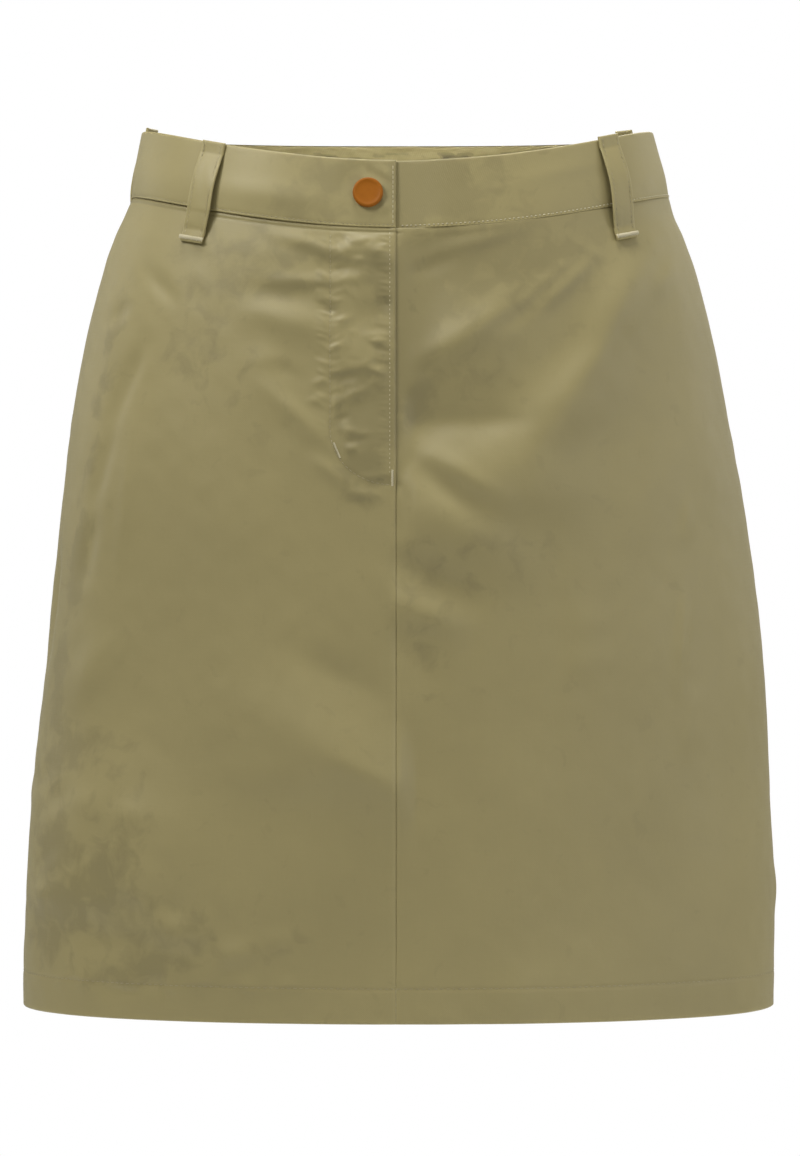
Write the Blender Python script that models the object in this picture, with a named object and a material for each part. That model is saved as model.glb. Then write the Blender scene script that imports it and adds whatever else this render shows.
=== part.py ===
"""A skort: an A-line woven skirt with a lapped fly and a waistband, over plain inner shorts.

Metres, +Z up. The front faces -Y and +X is the wearer's left. The origin is the middle of the
waist, level with the waist seam at the side seams. The garment keeps the hollow form that it has
when it is worn.
"""
import functools
import math
from collections import namedtuple

import bmesh
import bpy
import numpy as np
from mathutils import Vector

MM = 0.001

# Cloth
CLOTH = 1.4 * MM             # wall of a skirt panel
HEM = 2.8 * MM               # wall where the hem is turned up
BAND = 2.4 * MM              # wall of the waistband, two layers and their stiffening
BAND_PROUD = 0.5 * MM        # how far the band stands out past the panels
KNIT = 1.1 * MM              # wall of the inner shorts
TAPE = 1.2 * MM              # wall of a belt loop
SEAM_GAP = 0.3 * MM          # between neighbouring pieces

# Skirt
LENGTH = 450 * MM            # waist seam to hem at the side seams
HEM_DEPTH = 20 * MM
FRONT_DIP = 23 * MM          # how far the waist seam drops from the sides to the centre front
BACK_RISE = 2 * MM           # and how far it rises to the centre back
BAND_HEIGHT = 37 * MM

# Closing
CLOSING_X = -2.2 * MM        # edge of the wearer's right side, which lies on top
FLY_END = -162 * MM          # height of the fly's lower end
FLY_UNDERLAP = 14 * MM       # how far the left front runs on under the right one
BAND_UNDERLAP = 40 * MM      # how far the band's left end runs on under its right end
STEP_DOWN = 6 * MM           # width over which a lower layer dips under the upper one
FLY_FADE = 22 * MM           # height over which that dip fades out below the fly
LAP_TAPER = 8 * MM           # height over which the underlap narrows to nothing at the fly's end
CALM = 18 * MM               # folds die out this near the centre front, above the fly's end

BUTTON_X = -17.2 * MM
BUTTON_HEIGHT = -4.6 * MM
BUTTON_RADIUS = 8.2 * MM
BUTTON_THICKNESS = 2.8 * MM

# Belt loops
LOOP_WIDTH = 14 * MM
LOOP_ABOVE = 1.6 * MM        # past the band's top edge
LOOP_BELOW = 19 * MM         # past the waist seam
LOOP_PAD = 7 * MM            # the folded end that is sewn down
LOOP_BOW = 5.6 * MM          # its face's distance from the band at mid height

# Inner shorts
SHORTS_WAIST_INSET = 1.9 * MM     # from the skirt's face at the waist seam
SHORTS_HIP_INSET = 9 * MM
SHORTS_TOP = -1.5 * MM
SHORTS_HIP = -80 * MM
LAP_ZONE = 20 * MM                # the shorts pass inside the underlap this near the centre
FORK_TOP = -55 * MM               # the level where the legs start to part
CROTCH = -225 * MM
SHORTS_HEM = -335 * MM
FORK_POWER = 1.7

# Grids
PANEL_COLUMNS = 19
BAND_COLUMNS = (74, 8, 6)         # round the waist, over the step at the closing, and under it
BAND_ROWS = 4
LOOP_COLUMNS = 3
LOOP_ROWS = 14
SHORTS_COLUMNS = 14
BUTTON_SIDES = 32
ARC_STEPS = 60

# Sections, in mm: the level at the side seams, how far the cloth reaches to the wearer's right
# and left, to the front and to the back, and the power of the superellipse.
Section = namedtuple("Section", "level right left front back power")
BAND_SECTIONS = (
    Section(0, 149.5, 149.8, 101.0, 101.0, 2.30),
    Section(12, 148.2, 147.6, 99.0, 99.5, 2.28),
    Section(24, 146.0, 144.2, 97.0, 98.0, 2.26),
    Section(37, 143.8, 141.0, 95.0, 96.0, 2.25),
)
SKIRT_SECTIONS = (
    Section(-450, 210.2, 208.6, 123.6, 129.0, 2.16),
    Section(-425, 210.3, 209.2, 123.3, 128.8, 2.17),
    Section(-392, 208.8, 209.2, 122.8, 128.5, 2.18),
    Section(-347, 205.8, 207.5, 122.0, 128.0, 2.20),
    Section(-302, 202.0, 205.4, 121.0, 127.3, 2.22),
    Section(-258, 197.7, 202.6, 120.0, 126.5, 2.24),
    Section(-213, 193.2, 198.0, 118.5, 125.5, 2.26),
    Section(-168, 188.7, 191.5, 116.5, 124.0, 2.28),
    Section(-123, 183.1, 183.4, 114.0, 121.5, 2.30),
    Section(-78, 175.2, 174.7, 111.0, 117.0, 2.30),
    Section(-45, 166.4, 166.4, 108.0, 112.0, 2.30),
    Section(-22, 159.0, 158.4, 105.0, 107.0, 2.30),
    Section(-10, 153.8, 153.0, 103.0, 104.0, 2.30),
    Section(0, 149.5, 149.8, 101.0, 101.0, 2.30),
)

# Rows of the panels' and the shorts' grids, in mm of level.
PANEL_LEVELS = (-10, -22, -34, -46, -60, -76, -92, -108, -124, -140, -150, -160, -172, -188,
                -206, -226, -248, -272, -298, -326, -354, -382, -408)
SHORTS_LEVELS = (-16, -36, -58, -82, -108, -134, -158, -178, -196, -210, -219, -225, -245, -275,
                 -305)

# Folds: places round the cloth as a share (0 centre front, 1 the wearer's left side seam, -1 the
# right one, 2 centre back), level in mm, tilt in degrees from level (rising to the wearer's
# left), length and width in mm, and how far the cloth stands out (+) or sinks in (-), in mm.
Fold = namedtuple("Fold", "around level tilt length width out")
FOLDS = (
    # Front, wearer's left.
    Fold(0.12, -54, 25, 60, 20, 1.3),
    Fold(0.43, -58, 62, 62, 22, 1.6),
    Fold(0.24, -98, 28, 90, 24, 2.0),
    Fold(0.10, -98, 10, 50, 18, -1.4),
    Fold(0.20, -130, 3, 90, 30, 1.3),
    Fold(0.10, -153, -38, 60, 16, 1.5),
    Fold(0.17, -148, -31, 70, 16, -1.5),
    Fold(0.16, -197, -25, 95, 26, -2.0),
    Fold(0.07, -211, -33, 44, 16, 1.3),
    Fold(0.74, -230, 86, 130, 14, 1.2),
    # Front, wearer's right.
    Fold(-0.24, -96, -50, 90, 26, 2.0),
    Fold(-0.18, -276, -40, 125, 34, 2.4),
    Fold(-0.72, -70, 86, 110, 18, 1.5),
    Fold(-0.84, -100, 76, 100, 16, -2.0),
    Fold(-0.92, -228, 84, 90, 16, -2.0),
    Fold(-0.70, -378, 60, 130, 60, -2.2),
    Fold(-0.30, -400, 20, 90, 40, -1.2),
    # Back.
    Fold(1.72, -70, -24, 100, 20, 1.4),
    Fold(1.58, -112, -30, 110, 26, -1.8),
    Fold(1.45, -190, -58, 130, 30, 1.8),
    Fold(1.28, -290, 84, 170, 34, -1.8),
    Fold(1.76, -330, 82, 180, 40, 1.6),
    Fold(-1.70, -74, 22, 110, 20, 1.4),
    Fold(-1.50, -118, 32, 100, 24, -1.8),
    Fold(-1.62, -200, 52, 120, 28, 1.8),
    Fold(-1.30, -280, -84, 190, 36, -1.9),
    Fold(-1.80, -340, -82, 170, 36, -1.6),
)

# Belt loops: where the middle of the top and of the foot lies round the cloth.
Loop = namedtuple("Loop", "name top foot")
LOOPS = (
    Loop("belt_loop_front_right", -0.535, -0.549),
    Loop("belt_loop_front_left", 0.625, 0.608),
    Loop("belt_loop_back_right", -1.150, -1.150),
    Loop("belt_loop_back_left", 1.262, 1.250),
)

# The legs of the shorts, in mm: level, the leg's middle, its half width and its half depth.
Leg = namedtuple("Leg", "level middle half_width half_depth")
LEGS = (
    Leg(-340, 97.5, 87.0, 89.0),
    Leg(-280, 94.5, 88.0, 91.0),
    Leg(-225, 88.15, 88.0, 93.0),
)

# The button's profile, as shares of its radius and thickness from the rim's foot to the middle.
Turn = namedtuple("Turn", "radius height")
BUTTON_PROFILE = (
    Turn(0.90, 0.0), Turn(1.0, 0.16), Turn(1.0, 0.62), Turn(0.95, 0.90), Turn(0.86, 1.0),
    Turn(0.76, 0.93), Turn(0.62, 0.80), Turn(0.34, 0.78),
)

# sRGB colours as linear values, roughness and metallic value.
CLOTH_FINISH = ((0.245, 0.212, 0.110, 1.0), 0.55, 0.0)
KNIT_FINISH = ((0.150, 0.130, 0.070, 1.0), 0.80, 0.0)
BUTTON_FINISH = ((0.300, 0.095, 0.010, 1.0), 0.40, 0.2)


def smooth(share):
    """A soft step from 0 at 0 to 1 at 1."""
    share = max(0.0, min(1.0, share))
    return share * share * (3.0 - 2.0 * share)


def between(rows, level):
    """A row of a table at a level in metres, on a smooth curve through its rows."""
    at = level / MM
    low = 0
    while low < len(rows) - 2 and rows[low + 1].level < at:
        low += 1
    first, second = rows[low], rows[low + 1]
    before = rows[max(low - 1, 0)]
    after = rows[min(low + 2, len(rows) - 1)]
    span = second.level - first.level
    share = (at - first.level) / span
    values = []
    for a, b, c, d in zip(before, first, second, after):
        slope_in = (c - a) / (second.level - before.level) * span
        slope_out = (d - b) / (after.level - first.level) * span
        values.append((2 * share ** 3 - 3 * share ** 2 + 1) * b
                      + (share ** 3 - 2 * share ** 2 + share) * slope_in
                      + (3 * share ** 2 - 2 * share ** 3) * c
                      + (share ** 3 - share ** 2) * slope_out)
    return type(first)(*values)


@functools.lru_cache(maxsize=None)
def quarter(reach, depth, power):
    """Angles and arc lengths along a quarter section, from its centre line to its side."""
    angles = np.linspace(0.0, math.pi / 2, ARC_STEPS + 1)
    x = reach * np.sin(angles) ** (2 / power)
    y = depth * np.abs(np.cos(angles)) ** (2 / power)
    lengths = np.concatenate(([0.0], np.cumsum(np.hypot(np.diff(x), np.diff(y)))))
    return angles, lengths


def section_quarter(section, left, front):
    reach = section.left if left else section.right
    depth = section.front if front else section.back
    return reach, depth, quarter(reach, depth, section.power)


@functools.lru_cache(maxsize=None)
def base_point(rows, around, level):
    """A point of the unfolded surface, and the length of its quarter section."""
    section = between(rows, level)
    turn = (around + 2.0) % 4.0 - 2.0
    side = 1 if turn >= 0 else -1
    front = abs(turn) <= 1
    reach, depth, (angles, lengths) = section_quarter(section, side > 0, front)
    share = abs(turn) if front else 2.0 - abs(turn)
    angle = float(np.interp(share * lengths[-1], lengths, angles))
    across = math.sin(angle) ** (2 / section.power)
    forward = abs(math.cos(angle)) ** (2 / section.power)
    drop = FRONT_DIP if front else -BACK_RISE
    fade = min(1.0, 1.0 + level / LENGTH)
    height = level - drop * (1.0 - across ** 2) * fade
    point = Vector((side * across * reach * MM, (-forward if front else forward) * depth * MM, height))
    return point, float(lengths[-1]) * MM


def fly_share(height):
    """1 down to a little below the fly's end, fading to 0 below that."""
    return smooth((height - FLY_END + LAP_TAPER) / FLY_FADE + 1.0)


def around_at(rows, level, x):
    """The place round the front that lies at a given x."""
    section = between(rows, level)
    reach, _, (angles, lengths) = section_quarter(section, x >= 0, True)
    angle = math.asin(min(1.0, abs(x) / (reach * MM)) ** (section.power / 2))
    return math.copysign(float(np.interp(angle, angles, lengths)) / float(lengths[-1]), x)


def base_normal(rows, around, level):
    """The direction straight out of the cloth."""
    step_around, step_level = 0.004, 0.5 * MM
    along = (base_point(rows, around + step_around, level)[0]
             - base_point(rows, around - step_around, level)[0])
    down = (base_point(rows, around, level - step_level)[0]
            - base_point(rows, around, level + step_level)[0])
    return down.cross(along).normalized()


def fold_height(around, level, quarter_length):
    """How far the folds lift the cloth here."""
    total = 0.0
    turn = (around + 2.0) % 4.0 - 2.0
    for fold in FOLDS:
        right = (turn - fold.around) * quarter_length
        up = level - fold.level * MM
        tilt = math.radians(fold.tilt)
        along = (right * math.cos(tilt) + up * math.sin(tilt)) / (fold.length / 2 * MM)
        across = (up * math.cos(tilt) - right * math.sin(tilt)) / (fold.width / 2 * MM)
        if abs(along) < 1.0 and abs(across) < 2.5:
            total += fold.out * MM * math.exp(-across ** 2) * (1.0 - along ** 2) ** 2
    from_centre = smooth((abs(turn) * quarter_length - CALM) / CALM)
    calm = 1.0 - fly_share(level) * (1.0 - from_centre)
    return total * smooth(-level / (24 * MM)) * calm


def skirt_point(around, level, depth):
    """A point at a depth below the skirt's face."""
    point, quarter_length = base_point(SKIRT_SECTIONS, around, level)
    out = fold_height(around, level, quarter_length) - depth
    return point + base_normal(SKIRT_SECTIONS, around, level) * out


def band_point(around, level, depth):
    """A point at a depth below the waistband's face."""
    point, _ = base_point(BAND_SECTIONS, around, level)
    return point + base_normal(BAND_SECTIONS, around, level) * (BAND_PROUD - depth)


def stepped_under(x):
    """1 under the wearer's right side at the closing and just past it, 0 clear of it."""
    return smooth((CLOSING_X + 1.5 * STEP_DOWN - x) / STEP_DOWN)


def side_gap(level):
    """Half a seam's gap, as a share of the way round."""
    return SEAM_GAP / 2 / base_point(SKIRT_SECTIONS, 0.5, level)[1]


def material(name, finish):
    colour, roughness, metallic = finish
    made = bpy.data.materials.new(name)
    made.use_nodes = True
    shader = made.node_tree.nodes["Principled BSDF"]
    shader.inputs["Base Color"].default_value = colour
    shader.inputs["Roughness"].default_value = roughness
    shader.inputs["Metallic"].default_value = metallic
    return made


def add_object(name, mesh, made_of):
    """Turn a closed bmesh into an object, shaded smooth between its sharp edges."""
    bmesh.ops.recalc_face_normals(mesh, faces=mesh.faces)
    data = bpy.data.meshes.new(name)
    mesh.to_mesh(data)
    mesh.free()
    data.shade_smooth()
    data.set_sharp_from_angle(angle=math.radians(40))
    data.materials.append(made_of)
    item = bpy.data.objects.new(name, data)
    bpy.context.scene.collection.objects.link(item)
    return item


def wall(name, face, back, made_of):
    """A closed sheet between two grids of points that have the same rows and columns."""
    mesh = bmesh.new()
    grids = [[[mesh.verts.new(point) for point in row] for row in grid] for grid in (face, back)]
    rows, columns = len(face), len(face[0])
    for grid in grids:
        for r in range(rows - 1):
            for c in range(columns - 1):
                mesh.faces.new((grid[r][c], grid[r][c + 1], grid[r + 1][c + 1], grid[r + 1][c]))
    rim = [(0, c) for c in range(columns)]
    rim += [(r, columns - 1) for r in range(1, rows)]
    rim += [(rows - 1, c) for c in range(columns - 2, -1, -1)]
    rim += [(r, 0) for r in range(rows - 2, 0, -1)]
    for (r, c), (next_r, next_c) in zip(rim, rim[1:] + rim[:1]):
        mesh.faces.new((grids[0][r][c], grids[0][next_r][next_c],
                        grids[1][next_r][next_c], grids[1][r][c]))
    return add_object(name, mesh, made_of)


def panel_rows():
    """The levels of a panel's grid, each with its wall: the hem's turning is a step inside."""
    turning = -LENGTH + HEM_DEPTH
    rows = [(-SEAM_GAP / 2, CLOTH)]
    rows += [(level * MM, CLOTH) for level in PANEL_LEVELS]
    rows += [(turning + 0.6 * MM, CLOTH), (turning - 0.6 * MM, HEM), (-LENGTH, HEM)]
    return rows


def spread(start, end, steps):
    """Evenly spaced values from start to end."""
    return [start + (end - start) * step / steps for step in range(steps + 1)]


def panel(name, columns, sink, made_of):
    """A skirt panel; columns gives its grid's places round the cloth at a level, and sink how
    far a spot lies under its neighbour."""
    face, back = [], []
    for level, thickness in panel_rows():
        face.append([])
        back.append([])
        for around in columns(level):
            spot, _ = base_point(SKIRT_SECTIONS, around, level)
            depth = sink(spot)
            face[-1].append(skirt_point(around, level, depth))
            back[-1].append(skirt_point(around, level, depth + thickness))
    return wall(name, face, back, made_of)


def flat_sink(_spot):
    return 0.0


def left_front_sink(spot):
    return (CLOTH + SEAM_GAP) * stepped_under(spot.x) * fly_share(spot.z)


def front_right_columns(level):
    edge = around_at(SKIRT_SECTIONS, level, CLOSING_X - SEAM_GAP / 2)
    return spread(side_gap(level) - 1.0, edge, PANEL_COLUMNS)


def front_left_columns(level):
    """The left front's edge runs under the right front as far down as the fly goes."""
    height = level - FRONT_DIP * (1.0 + level / LENGTH)
    lap = smooth((height - FLY_END) / LAP_TAPER)
    edge = CLOSING_X + SEAM_GAP / 2
    turned = (edge - FLY_UNDERLAP * lap,
              edge + 0.2 * STEP_DOWN - 0.5 * FLY_UNDERLAP * lap,
              edge + 0.4 * STEP_DOWN * (1.0 - lap) - 0.4 * MM * lap)
    places = [around_at(SKIRT_SECTIONS, level, x) for x in turned]
    clear = around_at(SKIRT_SECTIONS, level, edge + 1.5 * STEP_DOWN)
    return places + spread(clear, 1.0 - side_gap(level), PANEL_COLUMNS - 1)


def back_left_columns(level):
    return spread(1.0 + side_gap(level), 2.0 - side_gap(level), PANEL_COLUMNS)


def back_right_columns(level):
    return spread(side_gap(level) - 2.0, -1.0 - side_gap(level), PANEL_COLUMNS)


def add_panels(cloth):
    panel("front_right", front_right_columns, flat_sink, cloth)
    panel("front_left", front_left_columns, left_front_sink, cloth)
    panel("back_left", back_left_columns, flat_sink, cloth)
    panel("back_right", back_right_columns, flat_sink, cloth)


def band_columns():
    """Places along the band from its button end, round the back, to its end underneath."""
    start = -around_at(BAND_SECTIONS, 0.0, CLOSING_X)
    finish = 4.0 - around_at(BAND_SECTIONS, 0.0, CLOSING_X - BAND_UNDERLAP)
    lap_from = 4.0 - around_at(BAND_SECTIONS, 0.0, CLOSING_X + 2.0 * STEP_DOWN)
    lap_to = 4.0 - around_at(BAND_SECTIONS, 0.0, CLOSING_X)
    stops = (start, lap_from, lap_to, finish)
    places = [start]
    for low, high, steps in zip(stops, stops[1:], BAND_COLUMNS):
        places += spread(low, high, steps)[1:]
    return places


def add_waistband(cloth):
    face, back = [], []
    for level in spread(SEAM_GAP / 2, BAND_HEIGHT, BAND_ROWS):
        face.append([])
        back.append([])
        for place in band_columns():
            around = -place
            spot, _ = base_point(BAND_SECTIONS, around, level)
            under = place > 3.0
            depth = (BAND + SEAM_GAP) * stepped_under(spot.x) if under else 0.0
            face[-1].append(band_point(around, level, depth))
            back[-1].append(band_point(around, level, depth + BAND))
    return wall("waistband", face, back, cloth)


def loop_profile(share):
    """A loop's face and back, as distances from its carrier, at a share of the way down."""
    height = LOOP_ABOVE + BAND_HEIGHT + LOOP_BELOW
    pad = LOOP_PAD / height
    open_share = (share - pad) / (1.0 - 2.0 * pad)
    rise = math.sin(math.pi * max(0.0, min(1.0, open_share))) ** 0.7
    seat = SEAM_GAP + 2 * TAPE
    face = seat + (LOOP_BOW - seat) * rise
    back = SEAM_GAP if rise == 0.0 else max(SEAM_GAP, face - TAPE)
    return face, back


def strip_point(around, level, out):
    """A point standing out from the band, or from the skirt below the waist seam."""
    if level >= 0:
        return band_point(around, level, -out)
    blend = smooth(-level / (5 * MM))
    return skirt_point(around, level, -out - BAND_PROUD * (1.0 - blend))


def add_loop(loop, cloth):
    """A belt loop, sewn down at both folded ends and bowed clear of the band between them."""
    top, foot = BAND_HEIGHT + LOOP_ABOVE, -LOOP_BELOW
    pad = LOOP_PAD / (top - foot)
    shares = [0.0, pad * 0.5, pad]
    shares += [pad + (1.0 - 2.0 * pad) * (step / LOOP_ROWS) for step in range(1, LOOP_ROWS)]
    shares += [1.0 - pad, 1.0 - pad * 0.5, 1.0]
    face, back = [], []
    for share in shares:
        level = top + (foot - top) * share
        middle = loop.top + (loop.foot - loop.top) * share
        out, seat = loop_profile(share)
        rows = BAND_SECTIONS if level >= 0 else SKIRT_SECTIONS
        half = LOOP_WIDTH / 2 / base_point(rows, middle, level)[1]
        face.append([])
        back.append([])
        for place in spread(middle - half, middle + half, LOOP_COLUMNS):
            face[-1].append(strip_point(place, level, out))
            back[-1].append(strip_point(place, level, seat))
    return wall(loop.name, face, back, cloth)


def add_button(finish):
    """A turned button on the band, its back a seam's gap off the cloth."""
    around = around_at(BAND_SECTIONS, BAND_HEIGHT / 2, BUTTON_X)
    level = BUTTON_HEIGHT + FRONT_DIP
    out = base_normal(BAND_SECTIONS, around, level)
    middle = band_point(around, level, -SEAM_GAP)
    right = Vector((0, 0, 1)).cross(out).normalized()
    up = out.cross(right)
    mesh = bmesh.new()
    rings = []
    for turn in BUTTON_PROFILE:
        ring = []
        for side in range(BUTTON_SIDES):
            angle = 2 * math.pi * side / BUTTON_SIDES
            spoke = right * math.cos(angle) + up * math.sin(angle)
            ring.append(mesh.verts.new(middle + spoke * turn.radius * BUTTON_RADIUS
                                       + out * turn.height * BUTTON_THICKNESS))
        rings.append(ring)
    for ring, after in zip(rings, rings[1:]):
        for side in range(BUTTON_SIDES):
            beside = (side + 1) % BUTTON_SIDES
            mesh.faces.new((ring[side], ring[beside], after[beside], after[side]))
    mesh.faces.new(rings[0])
    mesh.faces.new(rings[-1])
    return add_object("button", mesh, finish)


def shorts_inset(level):
    """How far the shorts lie inside the skirt's face."""
    falling = smooth(level / SHORTS_HIP)
    return SHORTS_WAIST_INSET + (SHORTS_HIP_INSET - SHORTS_WAIST_INSET) * falling


def lap_inset(x, height):
    """How much deeper they lie where the fly's underlap comes between."""
    near_lap = 1.0 - smooth((abs(x) - LAP_ZONE) / LAP_ZONE)
    return (CLOTH + SEAM_GAP) * near_lap * fly_share(height)


@functools.lru_cache(maxsize=None)
def hip_radius(side, angle, level):
    """Distance from a leg's middle to the hips' outline, in a direction from the outer side."""
    section = between(SKIRT_SECTIONS, level)
    middle = LEGS[-1].middle * MM
    inset = shorts_inset(level)
    reach = (section.left if side > 0 else section.right) * MM - inset
    depth = (section.back if angle > 0 else section.front) * MM - inset
    low, high = 0.0, 2 * reach
    for _ in range(40):
        radius = (low + high) / 2
        x = middle + radius * math.cos(angle)
        y = radius * math.sin(angle)
        inside = abs(x / reach) ** section.power + abs(y / depth) ** section.power < 1.0
        low, high = (radius, high) if inside else (low, radius)
    return low


def leg_radius(side, angle, level):
    """Distance from a leg's middle to its cloth: the hips' outline, turning into the leg's."""
    fork = max(0.0, min(1.0, (FORK_TOP - level) / (FORK_TOP - CROTCH))) ** FORK_POWER
    leg = between(LEGS, min(level, CROTCH))
    own = MM / math.hypot(math.cos(angle) / leg.half_width, math.sin(angle) / leg.half_depth)
    if fork >= 1.0:
        return own, leg.middle * MM
    return own + (hip_radius(side, angle, level) - own) * (1.0 - fork), leg.middle * MM


@functools.lru_cache(maxsize=None)
def end_angle(side, level, back):
    """Where a leg's cloth meets the crotch seam, or its own other edge at the inseam."""
    sign = 1 if back else -1
    low, high = math.pi / 2, math.pi
    radius, middle = leg_radius(side, sign * math.pi, level)
    if middle - radius >= SEAM_GAP / 2 - 1e-7:
        return sign * (math.pi - SEAM_GAP / 2 / radius)
    for _ in range(40):
        angle = (low + high) / 2
        radius, middle = leg_radius(side, sign * angle, level)
        inside = middle + radius * math.cos(angle) > SEAM_GAP / 2
        low, high = (angle, high) if inside else (low, angle)
    return sign * min(low, math.pi - SEAM_GAP / 2 / radius)


def shorts_base(side, turn, level):
    """A point of the shorts' face: turn runs from -1 at the front edge to 1 at the back one."""
    angle = abs(turn) * end_angle(side, level, turn > 0)
    radius, middle = leg_radius(side, angle, level)
    x = middle + radius * math.cos(angle)
    y = radius * math.sin(angle)
    section = between(SKIRT_SECTIONS, max(level, CROTCH))
    reach = (section.left if side > 0 else section.right) * MM
    drop = FRONT_DIP if y < 0 else -BACK_RISE
    fade = 1.0 - smooth(level / CROTCH)
    height = level - drop * max(0.0, 1.0 - (x / reach) ** 2) * fade
    if y < 0:
        y += lap_inset(x, height)
    return Vector((side * x, y, height))


def shorts_point(side, turn, level, depth):
    point = shorts_base(side, turn, level)
    step_turn, step_level = 0.01, 1.0 * MM
    low, high = max(-1.0, turn - step_turn), min(1.0, turn + step_turn)
    along = shorts_base(side, high, level) - shorts_base(side, low, level)
    down = shorts_base(side, turn, level - step_level) - shorts_base(side, turn, level)
    out = down.cross(along).normalized() * side
    out.z = 0.0
    return point - out.normalized() * depth


def add_shorts(side, back, name, knit):
    """The front or the back of one leg, from the crotch seam and inseam to the side seam."""
    levels = [SHORTS_TOP] + [level * MM for level in SHORTS_LEVELS] + [SHORTS_HEM]
    end = 1.0 if back else -1.0
    face, rear = [], []
    for level in levels:
        radius, _ = leg_radius(side, 0.0, level)
        half_gap = SEAM_GAP / 2 / (radius * abs(end_angle(side, level, back)))
        face.append([])
        rear.append([])
        for turn in spread(end * half_gap, end, SHORTS_COLUMNS):
            face[-1].append(shorts_point(side, turn, level, 0.0))
            rear[-1].append(shorts_point(side, turn, level, KNIT))
    return wall(name, face, rear, knit)


def main():
    for item in list(bpy.data.objects):
        bpy.data.objects.remove(item, do_unlink=True)
    cloth = material("skirt_cloth", CLOTH_FINISH)
    knit = material("shorts_knit", KNIT_FINISH)
    enamel = material("button_enamel", BUTTON_FINISH)
    add_panels(cloth)
    add_waistband(cloth)
    for loop in LOOPS:
        add_loop(loop, cloth)
    add_button(enamel)
    for side, hand in ((-1, "right"), (1, "left")):
        add_shorts(side, False, "shorts_front_" + hand, knit)
        add_shorts(side, True, "shorts_back_" + hand, knit)


main()
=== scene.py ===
"""The looks of the skort: woven panels, waistband, belt loops, jersey shorts, button and sewing.

Metres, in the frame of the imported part: +Z up, the front faces -Y and +X is the wearer's left.
Each piece of cloth is a thin shell on the form of its solid, so the part's sections and folds are
repeated here, and finer creases, seams and rolled edges are laid on top of them.
"""
import math
from collections import namedtuple

import bpy
import numpy as np
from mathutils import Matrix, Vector

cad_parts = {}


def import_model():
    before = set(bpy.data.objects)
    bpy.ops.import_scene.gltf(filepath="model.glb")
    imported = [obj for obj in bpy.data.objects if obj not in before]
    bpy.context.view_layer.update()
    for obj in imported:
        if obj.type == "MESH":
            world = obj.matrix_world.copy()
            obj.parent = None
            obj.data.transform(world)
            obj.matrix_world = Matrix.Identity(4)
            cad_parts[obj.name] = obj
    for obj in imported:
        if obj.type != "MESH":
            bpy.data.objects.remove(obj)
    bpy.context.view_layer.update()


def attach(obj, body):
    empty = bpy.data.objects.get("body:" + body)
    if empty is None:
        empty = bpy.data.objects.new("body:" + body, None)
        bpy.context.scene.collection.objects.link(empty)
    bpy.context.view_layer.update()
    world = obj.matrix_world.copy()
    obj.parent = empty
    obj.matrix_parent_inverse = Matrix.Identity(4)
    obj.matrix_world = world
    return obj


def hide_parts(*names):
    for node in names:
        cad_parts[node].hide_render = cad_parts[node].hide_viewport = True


MM = 0.001

# The garment: the sizes of the part's solids, and where its folds and creases begin and end
CLOTH = 1.4 * MM
BAND_PROUD = 0.5 * MM
TAPE = 1.2 * MM
SEAM_GAP = 0.3 * MM
LENGTH = 450 * MM
HEM_DEPTH = 20 * MM
FRONT_DIP = 23 * MM
BACK_RISE = 2 * MM
BAND_HEIGHT = 37 * MM
CLOSING_X = -2.2 * MM
FLY_END = -162 * MM
FLY_UNDERLAP = 14 * MM
BAND_UNDERLAP = 40 * MM
LAP_CLEAR = 14.4 * MM         # the left front has close columns until this far past the closing
FLY_FADE = 22 * MM
LAP_TAPER = 8 * MM
CALM = 18 * MM               # down to the fly's end, no fold is this near to the middle
FOLD_START = 24 * MM         # the folds fade in over this much below the waist seam
CREASE_FADE = 9 * MM         # and the left front's creases over this much beside the closing
SPILL = 12 * MM              # a front's creases run on this far past the middle
SIDE_FADE = 26 * MM          # and fade out over this much before the side seams
RUMPLES_TOP = -290 * MM
CREASE_DEPTH = 1.5           # the heights in the creases' tables are multiplied by this
FOLD_DEPTH = 2.0             # and those in the folds' tables by this
BUTTON_X = -17.2 * MM
BUTTON_HEIGHT = -4.6 * MM
BUTTON_RADIUS = 8.2 * MM
BUTTON_THICKNESS = 2.8 * MM
LOOP_WIDTH = 14 * MM
LOOP_BELOW = 19 * MM
LOOP_PAD = 7 * MM
LOOP_BOW = 5.6 * MM
SHORTS_WAIST_INSET = 1.9 * MM
SHORTS_HIP_INSET = 9 * MM
SHORTS_TOP = -1.5 * MM
SHORTS_HIP = -80 * MM
LAP_ZONE = 20 * MM
FORK_TOP = -55 * MM
CROTCH = -225 * MM
SHORTS_HEM = -335 * MM
FORK_POWER = 1.7
SHORTS_WIDTH = 137 * MM * math.pi * 0.62          # about a piece's width round the leg

# Walls as they look: thinner than the solids, and rounded at every edge
PANEL_WALL = 1.0 * MM
LAYER_GAP = 0.12 * MM
HEM_WALL = 2.2 * MM
BAND_WALL = 2.2 * MM
KNIT_WALL = 0.9 * MM
SEWN_EDGE = 0.32 * MM        # how far the band's lower edge is rounded over
FLAT_EDGE = 0.10 * MM        # the same on the wearer's left front, where it lies flat
BAND_EASE = 28 * MM          # the band's under end rises to its face over this much
LEAN = 1.3 * MM              # the back of the band's inner face leans out by this at its top
LEAN_HEIGHT = 15 * MM        # and less and less over this much below
VALLEY = 1.0 * MM            # the left front dips beside the closing
DIP_FADE = 40 * MM           # and less and less over this much above the fly's end
SEAM_STEP = 0.42 * MM        # below the fly it stands this much behind the right front's edge
SEAM_EASE = 18 * MM
SEAM_OPEN = 0.02 * MM        # between pieces at a sewn seam
WAIST_OPEN = 0.03 * MM       # above and below the waist seam
SEAM_ROLL = 0.16 * MM        # how far a panel's edge is rounded over there
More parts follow.
